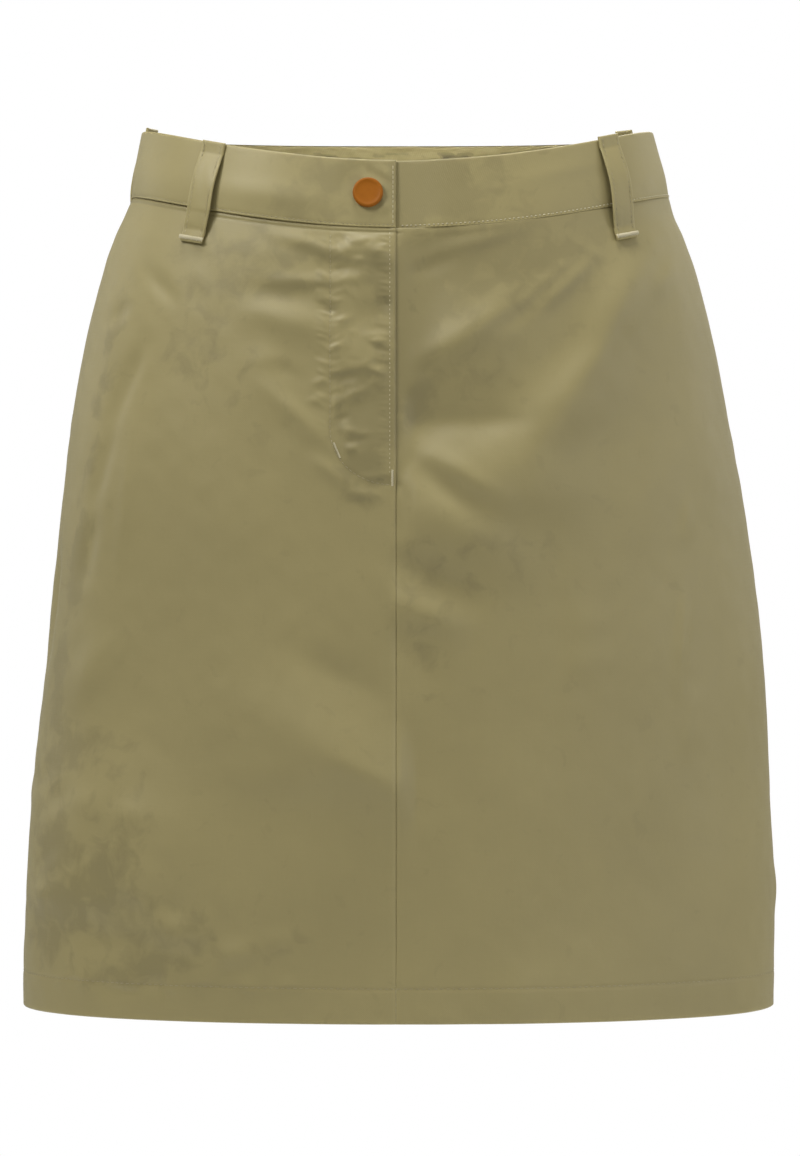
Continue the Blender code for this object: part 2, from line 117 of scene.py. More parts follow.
ROUND_EDGE = 0.48            # the hem's and the band's edges are rounded over this share of
ROUND_CUT = 0.46             # their walls; the fly's, the loops' and the shorts' over this
UNDER_BAND = BAND_PROUD - BAND_WALL - LAYER_GAP   # where the face of its under end lies
LEFT_SEAM = 3.0              # the place along the band of the wearer's left side seam

# Sewing
THREAD = 0.19 * MM           # radius
STITCH = 2.0 * MM            # one stitch, and the pitch from one to the next
PITCH = 2.7 * MM
SHORT_STITCH = 1.2 * MM      # the band's and the fly edge's rows have shorter ones
CLOSE_PITCH = 2.43 * MM
EDGE_STITCH_X = -5.5 * MM    # beside the fly's edge
FLY_STITCH_X = -37.5 * MM    # down the fly, to its curved foot
FLY_CURVE_Z = -132 * MM
FLY_FOOT_Z = -161.7 * MM
FLY_STITCH_END_X = -4.8 * MM
BAND_STITCH = 1.4 * MM       # above the waist seam
HEM_STITCH = -430 * MM
HEM_STITCHES = 330           # all the way round
SHORTS_STITCHES = 84         # along each piece of the shorts
SHORTS_STITCH_ROWS = (14.8 * MM, 17.2 * MM)       # above the shorts' hem
FLY_STITCH_TOP = -27 * MM
EDGE_STITCH_TOP = -25.5 * MM
STITCH_LIFT = 0.05 * MM      # a stitch's middle line above the cloth
BAR_LIFT = 0.15 * MM
BAR_PITCH = 0.42 * MM

ARC_STEPS = 60
Section = namedtuple("Section", "level right left front back power")
LEVEL, RIGHT, LEFT, FRONT, BACK, POWER = range(6)
BAND_SECTIONS = (
    Section(0, 149.5, 149.8, 101.0, 101.0, 2.30),
    Section(12, 148.2, 147.6, 99.0, 99.5, 2.28),
    Section(24, 146.0, 144.2, 97.0, 98.0, 2.26),
    Section(37, 143.8, 141.0, 95.0, 96.0, 2.25),
)
SKIRT_SECTIONS = (
    Section(-450, 210.2, 208.6, 123.6, 129.0, 2.16),
    Section(-425, 210.3, 209.2, 123.3, 128.8, 2.17),
    Section(-392, 208.8, 209.2, 122.8, 128.5, 2.18),
    Section(-347, 205.8, 207.5, 122.0, 128.0, 2.20),
    Section(-302, 202.0, 205.4, 121.0, 127.3, 2.22),
    Section(-258, 197.7, 202.6, 120.0, 126.5, 2.24),
    Section(-213, 193.2, 198.0, 118.5, 125.5, 2.26),
    Section(-168, 188.7, 191.5, 116.5, 124.0, 2.28),
    Section(-123, 183.1, 183.4, 114.0, 121.5, 2.30),
    Section(-78, 175.2, 174.7, 111.0, 117.0, 2.30),
    Section(-45, 166.4, 166.4, 108.0, 112.0, 2.30),
    Section(-22, 159.0, 158.4, 105.0, 107.0, 2.30),
    Section(-10, 153.8, 153.0, 103.0, 104.0, 2.30),
    Section(0, 149.5, 149.8, 101.0, 101.0, 2.30),
)


def table(kind, values):
    """A table's rows, with their values named."""
    return tuple(kind(*row) for row in values)


# Folds: the place round the cloth as a share (0 centre front, 1 the wearer's left side seam, -1
# the right one, 2 centre back), level in mm, tilt in degrees, length, width and height in mm.
Fold = namedtuple("Fold", "around level tilt length width out")
FOLDS = table(Fold, (
    (-0.92, -228, 84, 90, 16, -2.0), (1.72, -70, -24, 100, 20, 1.4),
    (1.58, -112, -30, 110, 26, -1.8), (1.45, -190, -58, 130, 30, 1.8),
    (1.28, -290, 84, 170, 34, -1.8), (1.76, -330, 82, 180, 40, 1.6),
    (-1.70, -74, 22, 110, 20, 1.4), (-1.50, -118, 32, 100, 24, -1.8),
    (-1.62, -200, 52, 120, 28, 1.8), (-1.30, -280, -84, 190, 36, -1.9),
    (-1.80, -340, -82, 170, 36, -1.6),
))

# Finer folds, laid on those above.
FINE_FOLDS = table(Fold, (
    (0.96, -384, 84, 34, 11, 0.5), (0.98, -340, 88, 30, 10, -0.3), (-0.97, -330, 86, 26, 10, 0.4),
    (-0.96, -150, 84, 60, 10, -0.8), (-0.62, -44, -30, 46, 10, -0.5),
    (0.70, -44, 24, 50, 12, 0.5), (1.34, -34, -40, 50, 10, 0.6), (1.60, -44, -14, 60, 9, -0.6),
    (1.82, -92, 12, 52, 9, 0.6), (1.90, -150, 36, 60, 12, -0.7), (1.08, -210, 80, 90, 12, 0.8),
    (1.52, -260, 76, 110, 16, 0.7), (-1.36, -36, 38, 50, 10, 0.6), (-1.62, -46, 16, 60, 9, -0.6),
    (-1.84, -96, -14, 54, 10, 0.6), (-1.88, -160, -30, 60, 12, -0.7),
    (-1.10, -200, -82, 100, 12, 0.8), (-1.55, -270, -74, 110, 16, 0.7),
    (1.80, -60, -30, 70, 12, 1.0), (1.66, -92, -36, 80, 14, -1.1), (1.40, -84, -52, 74, 14, 1.2),
    (1.86, -118, -20, 64, 13, -0.9), (1.74, -150, -34, 90, 18, 1.5),
    (1.30, -150, -70, 80, 14, -1.0), (1.86, -214, -30, 70, 20, 1.4),
    (1.60, -330, 28, 110, 30, -1.8), (1.24, -392, 40, 70, 22, 1.3), (1.80, -408, 14, 70, 18, 1.0),
    (-1.82, -58, 26, 66, 12, 1.0), (-1.58, -84, 40, 84, 14, 1.2), (-1.34, -96, 58, 70, 13, -1.0),
    (-1.86, -126, 18, 70, 14, -1.0), (-1.68, -160, 30, 96, 18, 1.5),
    (-1.26, -170, 72, 90, 14, 1.0), (-1.88, -236, 36, 80, 22, -1.5),
    (-1.44, -352, -30, 120, 32, 1.8), (-1.20, -398, -44, 60, 20, -1.2),
    (-1.74, -412, -12, 76, 18, -1.0),
))

# Creases of the front, where x and z are places in mm from the waist's middle.
Crease = namedtuple("Crease", "x z tilt length width out")
RIGHT_CREASES = table(Crease, (
    # Under the band, beside the fly.
    (-46, -32, -16, 68, 9, 1.0), (-13, -35, -28, 36, 8, 0.7), (-18, -37, -10, 48, 20, 1.3),
    (-30, -30, -40, 14, 4, -0.5), (-22, -30.5, 6, 24, 5, 0.55), (-34, -32, -64, 12, 3.5, -0.45),
    (-43, -30.5, -28, 22, 5, -0.4), (-11, -36, 30, 14, 4, 0.4), (-22, -38.5, -6, 20, 4, -0.4),
    (-32, -44.5, -10, 34, 8, -0.8), (-50, -52, 0, 62, 8, 0.6), (-30, -50, 0, 12, 7, 0.3),
    (-60, -60, -10, 66, 14, -0.8), (-58, -74, -17, 80, 16, 1.3), (-71, -95, -20, 24, 12, 0.8),
    (-64, -99, -30, 40, 9, -0.5), (-57, -123, -44, 74, 12, 1.4), (-34, -157, -38, 44, 8, 0.9),
    (-20, -167, -5, 28, 6, 0.7),
    # Within the fly's stitching.
    (-38.5, -67.5, -24, 18, 5, -0.6), (-40, -61, -20, 16, 4, 0.5), (-24, -50, 14, 20, 7, 0.4),
    (-12, -46, -30, 24, 5, -0.4), (-9, -64, -20, 12, 6, -0.6), (-14, -70, 8, 36, 18, -1.1),
    (-10, -78, -14, 16, 4, -0.4), (-24, -96, 0, 50, 28, 1.3), (-30, -74, 40, 20, 5, 0.35),
    (-15, -83, -24, 18, 5, 0.4), (-11, -88.5, -26, 16, 4, -0.5), (-34, -88, 35, 18, 4, 0.5),
    (-41, -93, -15, 14, 4, -0.4), (-12.9, -101, -22, 18, 4, 0.5), (-10, -97, -10, 14, 4, -0.4),
    (-28, -104, 8, 26, 6, -0.8), (-43.4, -106.6, 20, 12, 4, 0.4),
    (-41.8, -110.5, -20, 10, 4, -0.4), (-25, -113.5, 26, 26, 6, 0.7),
    (-34, -117, 20, 12, 4.5, 0.4), (-45, -116.5, 0, 14, 5, 0.4), (-31, -126, 20, 12, 5, -0.5),
    (-26.9, -133, -12, 16, 5, 0.4), (-24, -138, 4, 20, 4, -0.4), (-18, -140, 0, 40, 30, 1.0),
    (-10, -159, 0, 16, 5, -0.5), (-25.7, -142.4, 0, 9, 4, 0.5), (-13, -158, 0, 20, 5, 0.5),
    # Lower down, and at the side.
    (-28, -309, -28, 180, 44, 4.5), (-20, -316, -26, 80, 14, 0.8), (-66, -318, -12, 80, 26, 1.3),
    (-36, -262, -28, 90, 16, -0.9), (-154, -67, 52, 24, 9, -0.8), (-149, -106, 66, 74, 10, -1.2),
    (-162, -150, 76, 70, 9, -1.1), (-170, -196, 80, 60, 9, -1.0), (-148, -166, 83, 120, 10, 0.8),
    (-168, -262, 60, 60, 18, 1.2), (-150, -356, 4, 150, 90, 4.0), (-186, -384, 30, 50, 26, 1.6),
    (-152, -404, 30, 56, 26, -1.8), (-128, -396, -40, 50, 24, 1.4),
    (-142, -340, -30, 30, 16, 0.9), (-106, -394, 0, 24, 14, 0.8), (-92, -414, 16, 60, 12, 0.7),
    (-64, -405, 30, 22, 12, 0.6), (-173, -428, -30, 22, 8, 0.6), (-150, -430, 30, 22, 9, 0.8),
    (-128, -434, -60, 26, 9, -0.9), (-105, -428, 10, 22, 8, 0.6), (-84, -429, -30, 20, 8, 0.7),
    (-60, -429, 10, 18, 7, 0.5),
))
LEFT_CREASES = table(Crease, (
    (34, -46, 12, 116, 40, -0.9), (30, -33, 13, 60, 8, 0.5), (50, -28, 18, 50, 8, 0.4),
    (16, -44, 20, 40, 8, -0.4), (33, -83, 31, 96, 17, 1.6), (38, -78, 25, 96, 34, 1.6),
    (60, -73, 32, 44, 10, -0.7), (90, -53, 45, 66, 8, 0.9), (80, -50, 42, 60, 7, 0.6),
    (90, -119, 46, 100, 34, 4.5), (116, -68, 66, 100, 26, 4.2), (98, -100, 50, 60, 14, 1.0),
    (28, -127, 2, 96, 34, -2.8), (36, -128, 1, 110, 12, -0.9), (8, -108, 20, 24, 12, 0.8),
    (60, -158, -12, 120, 46, 4.4), (36, -158, -33, 88, 13, 1.3), (26, -164, -38, 72, 15, -1.8),
    (33, -187, -30, 116, 34, 3.8), (19, -213, -33, 72, 18, -2.6), (14, -231, -24, 62, 20, 2.2),
    (8, -256, -60, 60, 18, -0.9), (100, -236, 10, 30, 18, 0.6), (100, -256, 20, 34, 18, 0.6),
    (156, -180, 84, 40, 7, 0.8), (153, -246, 86, 80, 7, 1.0), (158, -292, 82, 50, 9, 0.7),
    (62, -436, 70, 50, 34, 1.0), (20, -447, 10, 30, 14, 0.6),
))

# Patches of painted shade, darker where the cloth lies in shade by folds and the closing; out is
# how much.
FRONT_PAINTED_SHADE = table(Crease, (
    (-162, -378, 24, 80, 50, 0.85), (-192, -402, 74, 70, 30, 0.9), (-190, -362, 80, 44, 20, 0.8),
    (-141, -346, 70, 50, 20, 0.7), (-128, -404, 60, 70, 26, 0.6), (-150, -424, 10, 90, 18, 0.7),
    (-105, -398, 0, 34, 18, 0.5), (-60, -407, 20, 30, 14, 0.5), (-95, -414, 14, 80, 14, 0.5),
    (-170, -302, 20, 66, 22, 0.5), (18, -206, -25, 90, 44, 0.42), (62, -198, -12, 80, 40, 0.34),
    (10, -250, -70, 90, 26, 0.5), (10, -112, 6, 60, 30, 0.42), (46, -104, 10, 60, 30, 0.32),
    # Beside the closing and under the band.
    (4, -84, 90, 160, 24, 1.0), (12, -60, 90, 100, 18, 0.4), (30, -34, 13, 110, 22, 0.8),
    (84, -36, 20, 60, 12, 0.4), (60, -40, 14, 170, 50, 0.7), (26, -64, 20, 60, 34, 0.45),
    (-84, -42, -10, 110, 44, 0.7), (-100, -92, -20, 110, 60, 0.45),
    (-188, -318, 80, 130, 50, 0.45),
    # Within the fly.
    (-20, -138, 0, 50, 64, 1.2), (-10, -159, 0, 18, 6, 1.5), (-12, -122, 0, 30, 26, 0.6),
    (-30, -104, 8, 34, 9, 0.8), (-10, -52, -64, 44, 14, 0.8), (-8, -64, 0, 14, 10, 1.0),
    (-38, -38, -12, 64, 9, 0.8), (-36, -66, 10, 20, 8, 0.6), (-32, -88, 40, 26, 8, 0.6),
    (-12, -88, -26, 18, 5, 0.6), (-54, -55, 0, 60, 8, 0.6),
    # Down the wearer's right side.
    (-155, -70, 70, 56, 9, 0.9), (-163, -106, 75, 60, 8, 0.8), (-170, -150, 78, 56, 8, 0.7),
    (-175, -190, 80, 50, 9, 1.0), (-178, -216, 80, 50, 11, 1.1), (-186, -256, 82, 60, 10, 1.1),
    (-190, -286, 84, 40, 9, 0.8), (-146, -316, 70, 60, 20, 0.4),
))
# Painted shade on the back panels, placed round the cloth as the folds are.
BACK_PAINTED_SHADE = table(Fold, (
    (1.72, -205, -28, 100, 36, 0.45), (1.30, -372, 30, 90, 50, 0.5),
    (1.16, -410, 60, 70, 30, 0.4), (-1.66, -196, 26, 90, 34, 0.4),
    (-1.22, -384, -30, 96, 52, 0.55), (-1.50, -416, -10, 90, 20, 0.4),
    (1.10, -120, 80, 90, 14, 0.7), (-1.12, -240, -82, 110, 14, 0.8),
    (1.84, -110, -30, 70, 20, 0.6),
))
# Painted shade on the band, beside the closing and the button.
BAND_PAINTED_SHADE = table(Crease, (
    (4, 0, 90, 110, 24, 1.0), (24, 2, 90, 60, 20, 0.5), (-30, 6, 60, 40, 16, 0.5),
    (-62, -12, -8, 60, 10, 0.4), (-44, 2, 80, 90, 50, 0.6), (36, 4, 90, 120, 70, 0.6),
))

# Creases of the band, placed in the same way.
BAND_CREASES = table(Crease, (
    (-14, 6, -34, 26, 6, -0.5), (-8, 6.5, -40, 14, 4, 0.3), (-26, 4, 60, 26, 12, -0.4),
    (-8, -12, 20, 14, 6, 0.4), (-74, 4, 84, 70, 44, 1.3), (-70, -5, -9, 90, 16, 0.7),
    (-120, 4, 90, 70, 40, 0.8), (10, 6, 100, 60, 26, -0.6), (84, 8, 14, 90, 10, 0.35),
    (50, 4, 20, 60, 14, -0.3), (122, 4, 90, 60, 30, 0.5),
))

# Where a loop's top and foot are round the cloth, and how far it stands above the band in mm.
Loop = namedtuple("Loop", "name top foot above")
LOOPS = (
    Loop("belt_loop_front_right", -0.535, -0.549, 0.2),
    Loop("belt_loop_front_left", 0.625, 0.608, 1.2),
    Loop("belt_loop_back_right", -1.150, -1.150, 5.2),
    Loop("belt_loop_back_left", 1.262, 1.250, 5.6),
)

Leg = namedtuple("Leg", "level middle half_width half_depth")
LEGS = (
    Leg(-340, 97.5, 87.0, 89.0),
    Leg(-280, 94.5, 88.0, 91.0),
    Leg(-225, 88.15, 88.0, 93.0),
)

# The button's profile, as shares of its radius and thickness from the rim's foot to the middle.
Turn = namedtuple("Turn", "radius height")
BUTTON_PROFILE = (
    Turn(0.0, 0.0), Turn(0.60, 0.0), Turn(0.90, 0.02), Turn(0.96, 0.08), Turn(0.99, 0.18),
    Turn(1.0, 0.34), Turn(1.0, 0.58), Turn(0.985, 0.76), Turn(0.95, 0.90), Turn(0.91, 0.97),
    Turn(0.87, 1.0), Turn(0.83, 0.985), Turn(0.78, 0.94), Turn(0.70, 0.88), Turn(0.58, 0.85),
    Turn(0.34, 0.84), Turn(0.0, 0.84),
)

# Levels down a panel: each stretch ends at a level in mm, with its rows this far apart.
Stretch = namedtuple("Stretch", "end spacing")
FLY_ROWS = (
    Stretch(-4, 0.5), Stretch(-150, 0.95), Stretch(-170, 1.6), Stretch(-427, 2.6),
    Stretch(-433, 0.6), Stretch(-446, 2.2), Stretch(-450, 0.4),
)
FRONT_ROWS = (
    Stretch(-4, 0.5), Stretch(-230, 1.6), Stretch(-427, 2.5),
    Stretch(-433, 0.6), Stretch(-446, 2.2), Stretch(-450, 0.4),
)
BACK_ROWS = (
    Stretch(-4, 0.5), Stretch(-427, 2.4), Stretch(-433, 0.6), Stretch(-446, 2.2),
    Stretch(-450, 0.4),
)
FINE_FROM_X = -62 * MM       # the fly's side of the right front has finer columns
RIGHT_STEPS = (88, 54)       # columns of the right front, up to there and beyond
LEFT_STEPS = (20, 126)       # of the left front, near the closing and beyond
BACK_STEPS = 92              # of each back panel
BAND_STEPS = (8, 46, 296, 24, 20)                 # of the band, between its stops
EDGE_COLUMNS = (0.0, 0.25, 0.6, 1.1, 1.8, 2.8)    # mm from a panel's edge


# ---------------------------------------------------------------- surfaces

def smooth(share):
    """A soft step from 0 at 0 to 1 at 1."""
    share = np.clip(share, 0.0, 1.0)
    return share * share * (3.0 - 2.0 * share)


def bell(distance, width):
    """1 at no distance, falling softly to nearly 0 at two widths."""
    return np.exp(-(distance / width) ** 2)


def between(rows, level):
    """A table's values at levels in metres, on a smooth curve through its rows."""
    data = np.array(rows, dtype=float)
    at = np.asarray(level) / MM
    low = np.clip(np.searchsorted(data[1:, LEVEL], at), 0, len(data) - 2)
    before, first = data[np.maximum(low - 1, 0)], data[low]
    second, after = data[low + 1], data[np.minimum(low + 2, len(data) - 1)]
    span = (second - first)[:, :1]
    share = (at[:, None] - first[:, :1]) / span
    slope_in = (second - before) / (second - before)[:, :1] * span
    slope_out = (after - first) / (after - first)[:, :1] * span
    return ((2 * share ** 3 - 3 * share ** 2 + 1) * first
            + (share ** 3 - 2 * share ** 2 + share) * slope_in
            + (3 * share ** 2 - 2 * share ** 3) * second
            + (share ** 3 - share ** 2) * slope_out)


def arcs(reach, depth, power):
    """Arc lengths along quarter sections, one row of steps for each."""
    angles = np.linspace(0.0, math.pi / 2, ARC_STEPS + 1)
    x = reach[:, None] * np.sin(angles) ** power[:, None]
    y = depth[:, None] * np.abs(np.cos(angles)) ** power[:, None]
    steps = np.hypot(np.diff(x), np.diff(y))
    return np.concatenate((np.zeros((len(x), 1)), np.cumsum(steps, axis=1)), axis=1)


def base(rows, around, level):
    """Points of the unfolded surface, and the lengths of their quarter sections."""
    around, level = np.broadcast_arrays(around, level)
    shape = around.shape
    around, level = around.ravel(), level.ravel()
    turn = (around + 2.0) % 4.0 - 2.0
    front = np.abs(turn) <= 1
    left = turn >= 0
    levels, at = np.unique(level, return_inverse=True)
    sections = between(rows, levels)
    tables = np.stack([arcs(sections[:, side] * MM, sections[:, face] * MM, 2 / sections[:, POWER])
                       for side in (RIGHT, LEFT) for face in (BACK, FRONT)])
    lengths = tables[2 * left + front, at]
    section = sections[at]
    reach = np.where(left, section[:, LEFT], section[:, RIGHT]) * MM
    depth = np.where(front, section[:, FRONT], section[:, BACK]) * MM
    power = 2 / section[:, POWER]
    quarter = lengths[:, -1]
    target = np.where(front, np.abs(turn), 2.0 - np.abs(turn)) * quarter
    step = np.clip((lengths < target[:, None]).sum(axis=1) - 1, 0, ARC_STEPS - 1)
    each = np.arange(len(step))
    low, high = lengths[each, step], lengths[each, step + 1]
    angle = (step + (target - low) / (high - low)) * math.pi / 2 / ARC_STEPS
    across = np.abs(np.sin(angle)) ** power
    forward = np.abs(np.cos(angle)) ** power
    drop = np.where(front, FRONT_DIP, -BACK_RISE)
    fade = np.minimum(1.0, 1.0 + level / LENGTH)
    points = np.stack((np.where(left, across, -across) * reach,
                       np.where(front, -forward, forward) * depth,
                       level - drop * (1.0 - across ** 2) * fade), axis=-1)
    return points.reshape(shape + (3,)), quarter.reshape(shape)


def unit(vectors):
    return vectors / np.linalg.norm(vectors, axis=-1, keepdims=True)


def outward(rows, around, level):
    """The directions straight out of the unfolded surface."""
    step_around, step_level = 0.004, 0.5 * MM
    along = base(rows, around + step_around, level)[0] - base(rows, around - step_around, level)[0]
    down = base(rows, around, level - step_level)[0] - base(rows, around, level + step_level)[0]
    return unit(np.cross(down, along))


def around_at(rows, level, x):
    """The places round the front that lie at given x."""
    level, x = np.broadcast_arrays(np.atleast_1d(level), x)
    section = between(rows, level)
    reach = np.where(x >= 0, section[:, LEFT], section[:, RIGHT]) * MM
    power = 2 / section[:, POWER]
    lengths = arcs(reach, section[:, FRONT] * MM, power)
    angle = np.arcsin(np.minimum(1.0, np.abs(x) / reach) ** (1 / power))
    at = angle / (math.pi / 2) * ARC_STEPS
    step = np.minimum(at.astype(int), ARC_STEPS - 1)
    each = np.arange(len(step))
    low, high = lengths[each, step], lengths[each, step + 1]
    return np.sign(x) * (low + (high - low) * (at - step)) / lengths[:, -1]


def front_place(rows, x, z):
    """The places round the front and the levels of points given by x and z."""
    x, z = np.broadcast_arrays(np.atleast_1d(x), z)
    level = z + FRONT_DIP
    for _ in range(8):
        section = between(rows, level)
        reach = np.where(x >= 0, section[:, LEFT], section[:, RIGHT]) * MM
        fade = np.minimum(1.0, 1.0 + level / LENGTH)
        level = z + FRONT_DIP * (1.0 - (x / reach) ** 2) * fade
    return around_at(rows, level, x), level


def fly_share(height):
    """1 down to a little below the fly's end, fading to 0 below that."""
    return smooth((height - FLY_END + LAP_TAPER) / FLY_FADE + 1.0)


def tucked(height):
    """The same for the cloth as it looks: the step is over just below the fly's end."""
    return smooth((height - FLY_END) / LAP_TAPER + 1.0)


def stepped_under(x):
    """1 under the wearer's right side at the closing, and 0 clear of it."""
    return smooth((CLOSING_X + BAND_EASE - x) / BAND_EASE)


def rounded(distance, radius):
    """How far a face falls back this near to an edge that is rounded over."""
    short = np.clip(radius - distance, 0.0, radius)
    return radius - np.sqrt(radius ** 2 - short ** 2)


# ---------------------------------------------------------------- folds and creases

def ridge(right, up, tilt, length, width, out):
    """A soft ridge or trough of a length and width, turned by a tilt."""
    tilt = math.radians(tilt)
    along = (right * math.cos(tilt) + up * math.sin(tilt)) / (length / 2)
    across = (up * math.cos(tilt) - right * math.sin(tilt)) / (width / 2)
    return out * np.exp(-across ** 2) * np.clip(1.0 - along ** 2, 0.0, 1.0) ** 2


def folded(folds, turn, level, quarter):
    """How far a table's folds lift the cloth."""
    total = np.zeros(np.shape(turn))
    for fold in folds:
        right = ((turn - fold.around + 2.0) % 4.0 - 2.0) * quarter / MM
        up = level / MM - fold.level
        total += ridge(right, up, fold.tilt, fold.length, fold.width, fold.out)
    return total * FOLD_DEPTH * MM


def creased(creases, x, z):
    """How far a table's creases lift the cloth."""
    total = np.zeros(np.shape(x))
    for crease in creases:
        total += ridge(x / MM - crease.x, z / MM - crease.z, crease.tilt, crease.length,
                       crease.width, crease.out)
    return total * CREASE_DEPTH * MM


def ripple(u, v, size, seed):
    """Soft uneven waves between about -1 and 1, with features of a size."""
    chance = np.random.default_rng(seed)
    total = np.zeros(np.shape(u))
    waves = 9
    for wave in range(waves):
        heading = math.pi * (wave + chance.random()) / waves
        pitch = size * chance.uniform(0.7, 1.8)
        phase = chance.uniform(0.0, 2 * math.pi)
        total += np.cos((u * math.cos(heading) + v * math.sin(heading)) * 2 * math.pi / pitch
                        + phase)
    return total / math.sqrt(waves)


def fly_puckers():
    """Small creases that the fly's two rows of stitches pull into the cloth."""
    chance = np.random.default_rng(4)
    creases = []
    z = -27.0
    while z > -158.0:
        strength = 0.30 if z > -62 else 0.15
        creases.append(Crease(EDGE_STITCH_X / MM - 2.6 + chance.uniform(-0.6, 0.6), z,
                              chance.uniform(-22, 14), chance.uniform(6.0, 12.0),
                              chance.uniform(1.5, 2.1), strength * chance.uniform(0.5, 1.1)))
        z -= chance.uniform(2.4, 3.9)
    z = -30.0
    while z > -134.0:
        strength = 0.32 if -120 < z < -42 else 0.18
        for side in (-1, 1):
            creases.append(Crease(FLY_STITCH_X / MM + side * chance.uniform(2.6, 4.6), z,
                                  side * chance.uniform(8, 46), chance.uniform(7.0, 13.0),
                                  chance.uniform(2.0, 3.2), strength * chance.uniform(0.3, 1.1)))
        z -= chance.uniform(3.0, 5.6)
    for _ in range(80):
        creases.append(Crease(chance.uniform(-34, -9), chance.uniform(-152, -30),
                              chance.uniform(-70, 70), chance.uniform(5, 13),
                              chance.uniform(2.6, 5.0), chance.uniform(-0.24, 0.24)))
    return creases


FLY_PUCKERS = fly_puckers()


def low_rumples():
    """Small uneven rumples low on the wearer's right front and along its hem's stitches."""
    chance = np.random.default_rng(6)
    creases = []
    for _ in range(60):
        x = chance.uniform(-198, -84)
        z = chance.uniform(-428, -318 - 60 * (x + 198) / 114)
        creases.append(Crease(x, z, chance.uniform(-60, 60), chance.uniform(16, 40),
                              chance.uniform(9, 20), chance.uniform(-0.5, 0.6)))
    x = -192.0
    while x < -40:
        creases.append(Crease(x, chance.uniform(-436, -429), chance.uniform(-70, 70),
                              chance.uniform(12, 24), chance.uniform(5, 9),
                              chance.uniform(-0.6, 0.5)))
        x += chance.uniform(8, 17)
    return creases


LOW_RUMPLES = low_rumples()


def fly_stitch_distance(x, z):
    """How far points of the right front lie from the fly's curved row of stitches."""
    wide = FLY_STITCH_END_X - FLY_STITCH_X
    tall = FLY_CURVE_Z - FLY_FOOT_Z
    right = (FLY_STITCH_END_X - x) / wide
    down = (FLY_CURVE_Z - z) / tall
    curve = (np.hypot(right, down) - 1.0) * (wide + tall) / 2
    return np.where(z > FLY_CURVE_Z, x - FLY_STITCH_X, -curve)


# Marks along a seam: how far to its side each lies, its width and its height, in mm.
Mark = namedtuple("Mark", "away width out")
SEAM_MARKS = (Mark(0, 1.5, -0.36), Mark(10, 3.0, 0.10))
WAIST_MARKS = (Mark(0, 0.9, -0.12), Mark(-1.6, 0.7, 0.22), Mark(-2.8, 0.7, -0.24))
LEFT_WAIST_MARK = Mark(0, 7, 0.40)
HEM_MARK = Mark(0, 0.9, -0.16)
HEM_STANDS = 0.12 * MM       # the doubled cloth below the hem's stitches stands this proud


def marked(mark, distance):
    """How far a mark lifts the cloth, at a distance from its seam."""
    return mark.out * MM * bell(distance - mark.away * MM, mark.width * MM)


def seam_marks(turn, quarter, level, spot):
    """Grooves and soft ridges along the panels' seams, the waist seam and the hem."""
    side = np.abs(1.0 - np.abs(turn)) * quarter
    back = (2.0 - np.abs(turn)) * quarter
    below_fly = 1.0 - fly_share(spot[..., 2] + FLY_FADE)
    front = np.where(np.abs(turn) < 1, np.abs(spot[..., 0] - CLOSING_X), 1.0)
    total = np.zeros(np.shape(turn))
    for distance, share in ((side, 1.0), (back, 1.0), (front, below_fly)):
        total += sum(marked(mark, distance) for mark in SEAM_MARKS) * share
    rolled = np.where((turn < 0) & (turn > -1), 1.0, 0.1)
    total += sum(marked(mark, level) for mark in WAIST_MARKS) * rolled
    total += marked(LEFT_WAIST_MARK, level) * (turn > 0) * (turn < 1)
    total += marked(HEM_MARK, level - HEM_STITCH)
    total += HEM_STANDS * smooth((HEM_STITCH - level) / (3 * MM))
    return total


def front_creases(x, z, lapped):
    """The creases of both fronts: each one's own, running out past the closing or the seam."""
    right = np.zeros(np.shape(x))
    left = np.zeros(np.shape(x))
    beyond = x - CLOSING_X
    here = beyond < SPILL
    right[here] = creased(RIGHT_CREASES, x[here], z[here])
    near_fly = here & (x > FINE_FROM_X)
    right[near_fly] += creased(FLY_PUCKERS, x[near_fly], z[near_fly])
    low = here & (z < RUMPLES_TOP)
    right[low] += creased(LOW_RUMPLES, x[low], z[low])
    right *= 1.0 - smooth(beyond / SPILL)
    right *= 1.0 - 0.6 * lapped * bell(beyond, 3 * MM)
    here = beyond > -SPILL
    left[here] = creased(LEFT_CREASES, x[here], z[here])
    left *= 1.0 - smooth(-beyond / SPILL)
    left *= 1.0 - lapped * (1.0 - smooth(x / CREASE_FADE))
    return right + left


